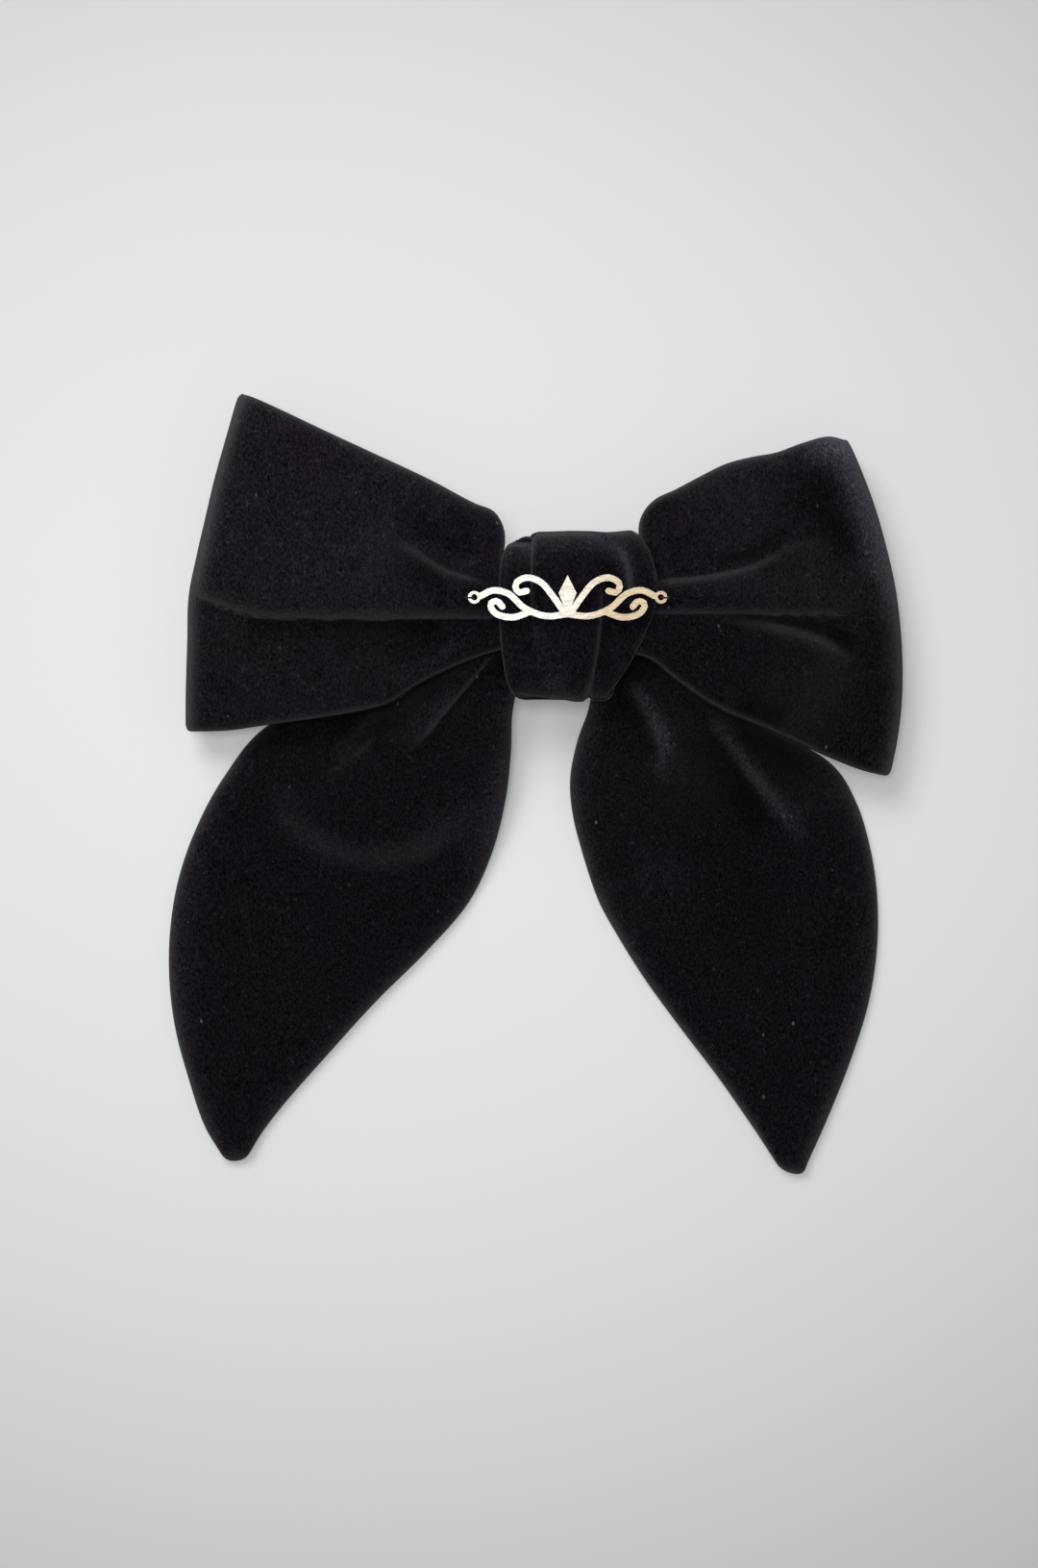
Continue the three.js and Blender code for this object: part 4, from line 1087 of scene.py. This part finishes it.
# ---- felt, thread
def build_felt():
    """A pressed pad with round ends, a little ragged at its rim."""
    angle = 2 * math.pi * np.linspace(0, 1, 120, endpoint=False)
    ends = FELT_HALF_WIDTH * np.cos(angle) + np.sign(np.cos(angle)) * FELT_STRAIGHT
    rim = np.stack([ends, FELT_HALF_WIDTH * np.sin(angle)], -1)
    ragged = 1 + 0.012 * np.sin(23 * angle) + 0.01 * np.sin(41 * angle + 1)
    shares = [0.0, 0.3, 0.6, 0.85, 0.95, 0.99, 1.0]
    layers = []
    for sign in (1, -1):
        rows = []
        for share in shares:
            height = FELT_HALF * math.sqrt(max(0.0, 1 - max(0.0, (share - 0.9) / 0.1) ** 2))
            ring_xy = rim * share * ragged[:, None]
            wave = 0.05 * wander(ring_xy, 9, 31)
            z = FELT_MIDDLE + sign * (height + wave * (1 - share))
            rows.append(np.concatenate([ring_xy, z[:, None]], -1))
        layers.append(np.stack(rows, axis=1))
    top, bottom = layers
    rows, columns = top.shape[:2]
    count = rows * columns
    verts = np.vstack([top.reshape(-1, 3), bottom.reshape(-1, 3)])
    faces = ring_faces(rows, columns)
    faces += [(a + count, d + count, c + count, b + count) for a, b, c, d in faces]
    for i in range(rows):
        a = (i + 1) * columns - 1
        b = ((i + 1) % rows + 1) * columns - 1
        faces.append((a, a + count, b + count, b))
    pad = new_object("felt_pad", verts, faces)
    finish_piece(pad, FELT, "felt", "bow", "backing_felt")


def tube(name, paths, radius, sides=8):
    """One mesh of round threads along closed paths."""
    verts, faces = [], []
    for path in paths:
        path = np.asarray(path)
        count = len(path)
        tangent = np.roll(path, -1, 0) - np.roll(path, 1, 0)
        tangent /= np.linalg.norm(tangent, axis=1, keepdims=True)
        centre = path.mean(axis=0)
        outward = path - centre
        outward -= (outward * tangent).sum(1, keepdims=True) * tangent
        outward /= np.linalg.norm(outward, axis=1, keepdims=True)
        sideways = np.cross(tangent, outward)
        base = len(verts)
        for i in range(count):
            for s in range(sides):
                a = 2 * math.pi * s / sides
                verts.append(path[i] + radius * (math.cos(a) * outward[i] + math.sin(a) * sideways[i]))
        for i in range(count):
            here = base + i * sides
            next_ring = base + (i + 1) % count * sides
            for s in range(sides):
                t = (s + 1) % sides
                faces.append((here + s, here + t, next_ring + t, next_ring + s))
    return new_object(name, verts, faces)


def winding(centre, first, second, turns, spacing, count=72):
    """Closed turns of thread lying side by side: a rounded rectangle round the centre."""
    centre, first, second = (np.array(x, float) for x in (centre, first, second))
    across = np.cross(first, second)
    across /= np.linalg.norm(across)
    angle = np.linspace(0, 2 * math.pi, count, endpoint=False)
    paths = []
    for k in range(turns):
        shift = (k - (turns - 1) / 2) * spacing
        grow = 1 - 0.012 * (k % 2)
        a = grow * rounded_power(np.cos(angle), 0.5)
        b = grow * rounded_power(np.sin(angle), 0.5)
        slip = shift + 0.12 * np.sin(angle + k)
        paths.append(centre + a[:, None] * first + b[:, None] * second + slip[:, None] * across)
    return paths


def sew(name, cad, body, centre, first, second, turns, spacing, radius):
    piece = tube(name, winding(centre, first, second, turns, spacing), radius)
    finish_piece(piece, THREAD_BLACK, "thread", body, cad)


def build_threads():
    sew("loop_gather_winding", "loop_gather_thread", "bow",
        (0, 0.75, WAIST_MIDDLE), (0, 11.75, 0), (0, 0, 4.0), 5, 0.3, 0.17)
    for side, tail in (("left", LEFT_TAIL), ("right", RIGHT_TAIL)):
        sew(f"{side}_tail_winding", f"{side}_tail_gather_thread", f"{side}_tail",
            (tail["pivot"][0], 3.2, 12.7), (5.2, 0, 0), (0, 0, 2.0), 4, 0.3, 0.16)
    for side, x in (("left", -25.4), ("right", 20.6)):
        sew(f"{side}_plate_sewing", f"{side}_plate_stitch", "bow",
            (x, 3.9, 28.3), (1.12, 0, 0), (0, 0, 1.25), 2, 0.24, 0.11)
    for side, x in (("left", -31), ("right", 31)):
        sew(f"barrette_sewing_{side}", f"barrette_stitch_{side}", "bow",
            (x, 0, 9.3), (0, 4.8, 0), (0, 0, 2.0), 4, 0.3, 0.16)


# ---- CAD metal, kept and finished
def dress_metal():
    metal = {
        "scroll_plate": (GOLD, PLATE_BEVEL),
        "barrette_base": (STEEL, STEEL_BEVEL),
        "tension_spring": (STEEL, STEEL_BEVEL),
        "spring_rivet": (STEEL, STEEL_BEVEL),
        "hinge_pin": (STEEL, FINE_BEVEL),
        "barrette_arm": (STEEL, STEEL_BEVEL),
        "catch_wing_upper": (STEEL, FINE_BEVEL),
        "catch_wing_lower": (STEEL, FINE_BEVEL),
    }
    for name, (material, width) in metal.items():
        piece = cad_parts[name]
        piece.data.materials.clear()
        piece.data.materials.append(material)
        rounded = piece.modifiers.new("edges", "BEVEL")
        rounded.width = width * MM
        rounded.segments = 3
        rounded.limit_method = "ANGLE"
        rounded.angle_limit = math.radians(BEVEL_FROM_DEGREES)
        rounded.use_clamp_overlap = True
        rounded.harden_normals = False


# ---- floor, light, camera
# Painted pool of light: the table's colour is brightest near its middle point and fades towards the dim
# colour farther out. The table also glows a little though it is no lamp, which thins its shadows.
FLOOR_POOL_LIT = (0.845, 0.848, 0.852, 1)
FLOOR_POOL_DIM = (0.36, 0.36, 0.35, 1)
FLOOR_POOL_MIDDLE = (-0.045, -0.03)
FLOOR_POOL_REACH = (0.36, 0.31)
FLOOR_POOL_SPREAD = (1 / FLOOR_POOL_REACH[0], 1 / FLOOR_POOL_REACH[1], 0)
FLOOR_POOL_SHIFT = (-FLOOR_POOL_MIDDLE[0] / FLOOR_POOL_REACH[0], -FLOOR_POOL_MIDDLE[1] / FLOOR_POOL_REACH[1], 0)
FLOOR_GLOW = 0.18


def build_stage():
    bpy.ops.mesh.primitive_plane_add(size=3.0, location=(0, 0, 0))
    floor = bpy.context.object
    floor.name = "floor"
    material, tree, shader = new_material("table_painted_light_pool")
    place = object_space(tree, FLOOR_POOL_SPREAD)
    place.node.inputs["Location"].default_value = FLOOR_POOL_SHIFT
    away = tree.nodes.new("ShaderNodeVectorMath")
    away.operation = "DOT_PRODUCT"
    tree.links.new(place, away.inputs[0])
    tree.links.new(place, away.inputs[1])
    share = math_node(tree, "ADD", away.outputs["Value"], 0.0, clamp=True)
    soft = noise(tree, object_space(tree), 900.0, 3.0, 0.6)
    # Painted pool of light, also fed to the table's own glow.
    tinted = blend_colour(tree, share, FLOOR_POOL_LIT, FLOOR_POOL_DIM)
    tree.links.new(tinted, shader.inputs["Base Color"])
    tree.links.new(tinted, shader.inputs["Emission Color"])
    set_inputs(shader, {"Emission Strength": FLOOR_GLOW})
    bump(tree, shader, soft, 0.05, 0.0001)
    set_inputs(shader, {"Roughness": 0.6, "Specular IOR Level": 0.2})
    floor.data.materials.append(material)


WHITE = (1.0, 1.0, 1.0)
ROOM_TINT = (0.94, 0.96, 1.0, 1)
ROOM_LIGHT = 0.22
WINDOW_PLACE = (-0.47, 0.78, 1.12)
WINDOW_AIM = (0, -0.02, 0)
WINDOW_SIZE = (0.75, 0.75)
WINDOW_WATTS = 9.3
CEILING_PLACE = (-0.12, 0.06, 1.7)
CEILING_SIZE = (0.4, 0.4)
CEILING_WATTS = 7.3


def area_light(name, place, aim, size, power, colour):
    data = bpy.data.lights.new(name, "AREA")
    data.shape = "RECTANGLE"
    data.size, data.size_y = size
    data.energy = power
    data.color = colour
    light = bpy.data.objects.new(name, data)
    bpy.context.scene.collection.objects.link(light)
    light.location = place
    light.rotation_euler = (Vector(aim) - Vector(place)).to_track_quat("-Z", "Y").to_euler()
    light.visible_camera = False


def build_light():
    world = bpy.data.worlds.new("room")
    bpy.context.scene.world = world
    world.use_nodes = True
    background = world.node_tree.nodes["Background"]
    background.inputs["Color"].default_value = ROOM_TINT
    background.inputs["Strength"].default_value = ROOM_LIGHT
    area_light("window", WINDOW_PLACE, WINDOW_AIM, WINDOW_SIZE, WINDOW_WATTS, WHITE)
    area_light("ceiling", CEILING_PLACE, (0, 0, 0), CEILING_SIZE, CEILING_WATTS, WHITE)


VIEW_HEIGHT = 0.3751
VIEW_MIDDLE = (-0.0138, -0.0399)
LENS, SENSOR = 85.0, 36.0
FOCUS_HEIGHT = 0.012


def build_camera():
    data = bpy.data.cameras.new("camera")
    data.lens = LENS
    data.sensor_width = SENSOR
    data.sensor_fit = "AUTO"
    data.dof.use_dof = False
    camera = bpy.data.objects.new("camera", data)
    bpy.context.scene.collection.objects.link(camera)
    distance = VIEW_HEIGHT * LENS / SENSOR
    camera.location = (*VIEW_MIDDLE, FOCUS_HEIGHT + distance)
    camera.rotation_euler = (0, 0, 0)
    bpy.context.scene.camera = camera


build_camera()
build_stage()
build_light()
build_loops()
build_knot()
build_wadding()
build_tail("left", LEFT_TAIL, left_tail_folds)
build_tail("right", RIGHT_TAIL, right_tail_folds)
build_felt()
build_threads()
dress_metal()

bpy.context.scene.view_settings.view_transform = "Standard"
bpy.context.scene.view_settings.look = "None"

bpy.context.view_layer.update()
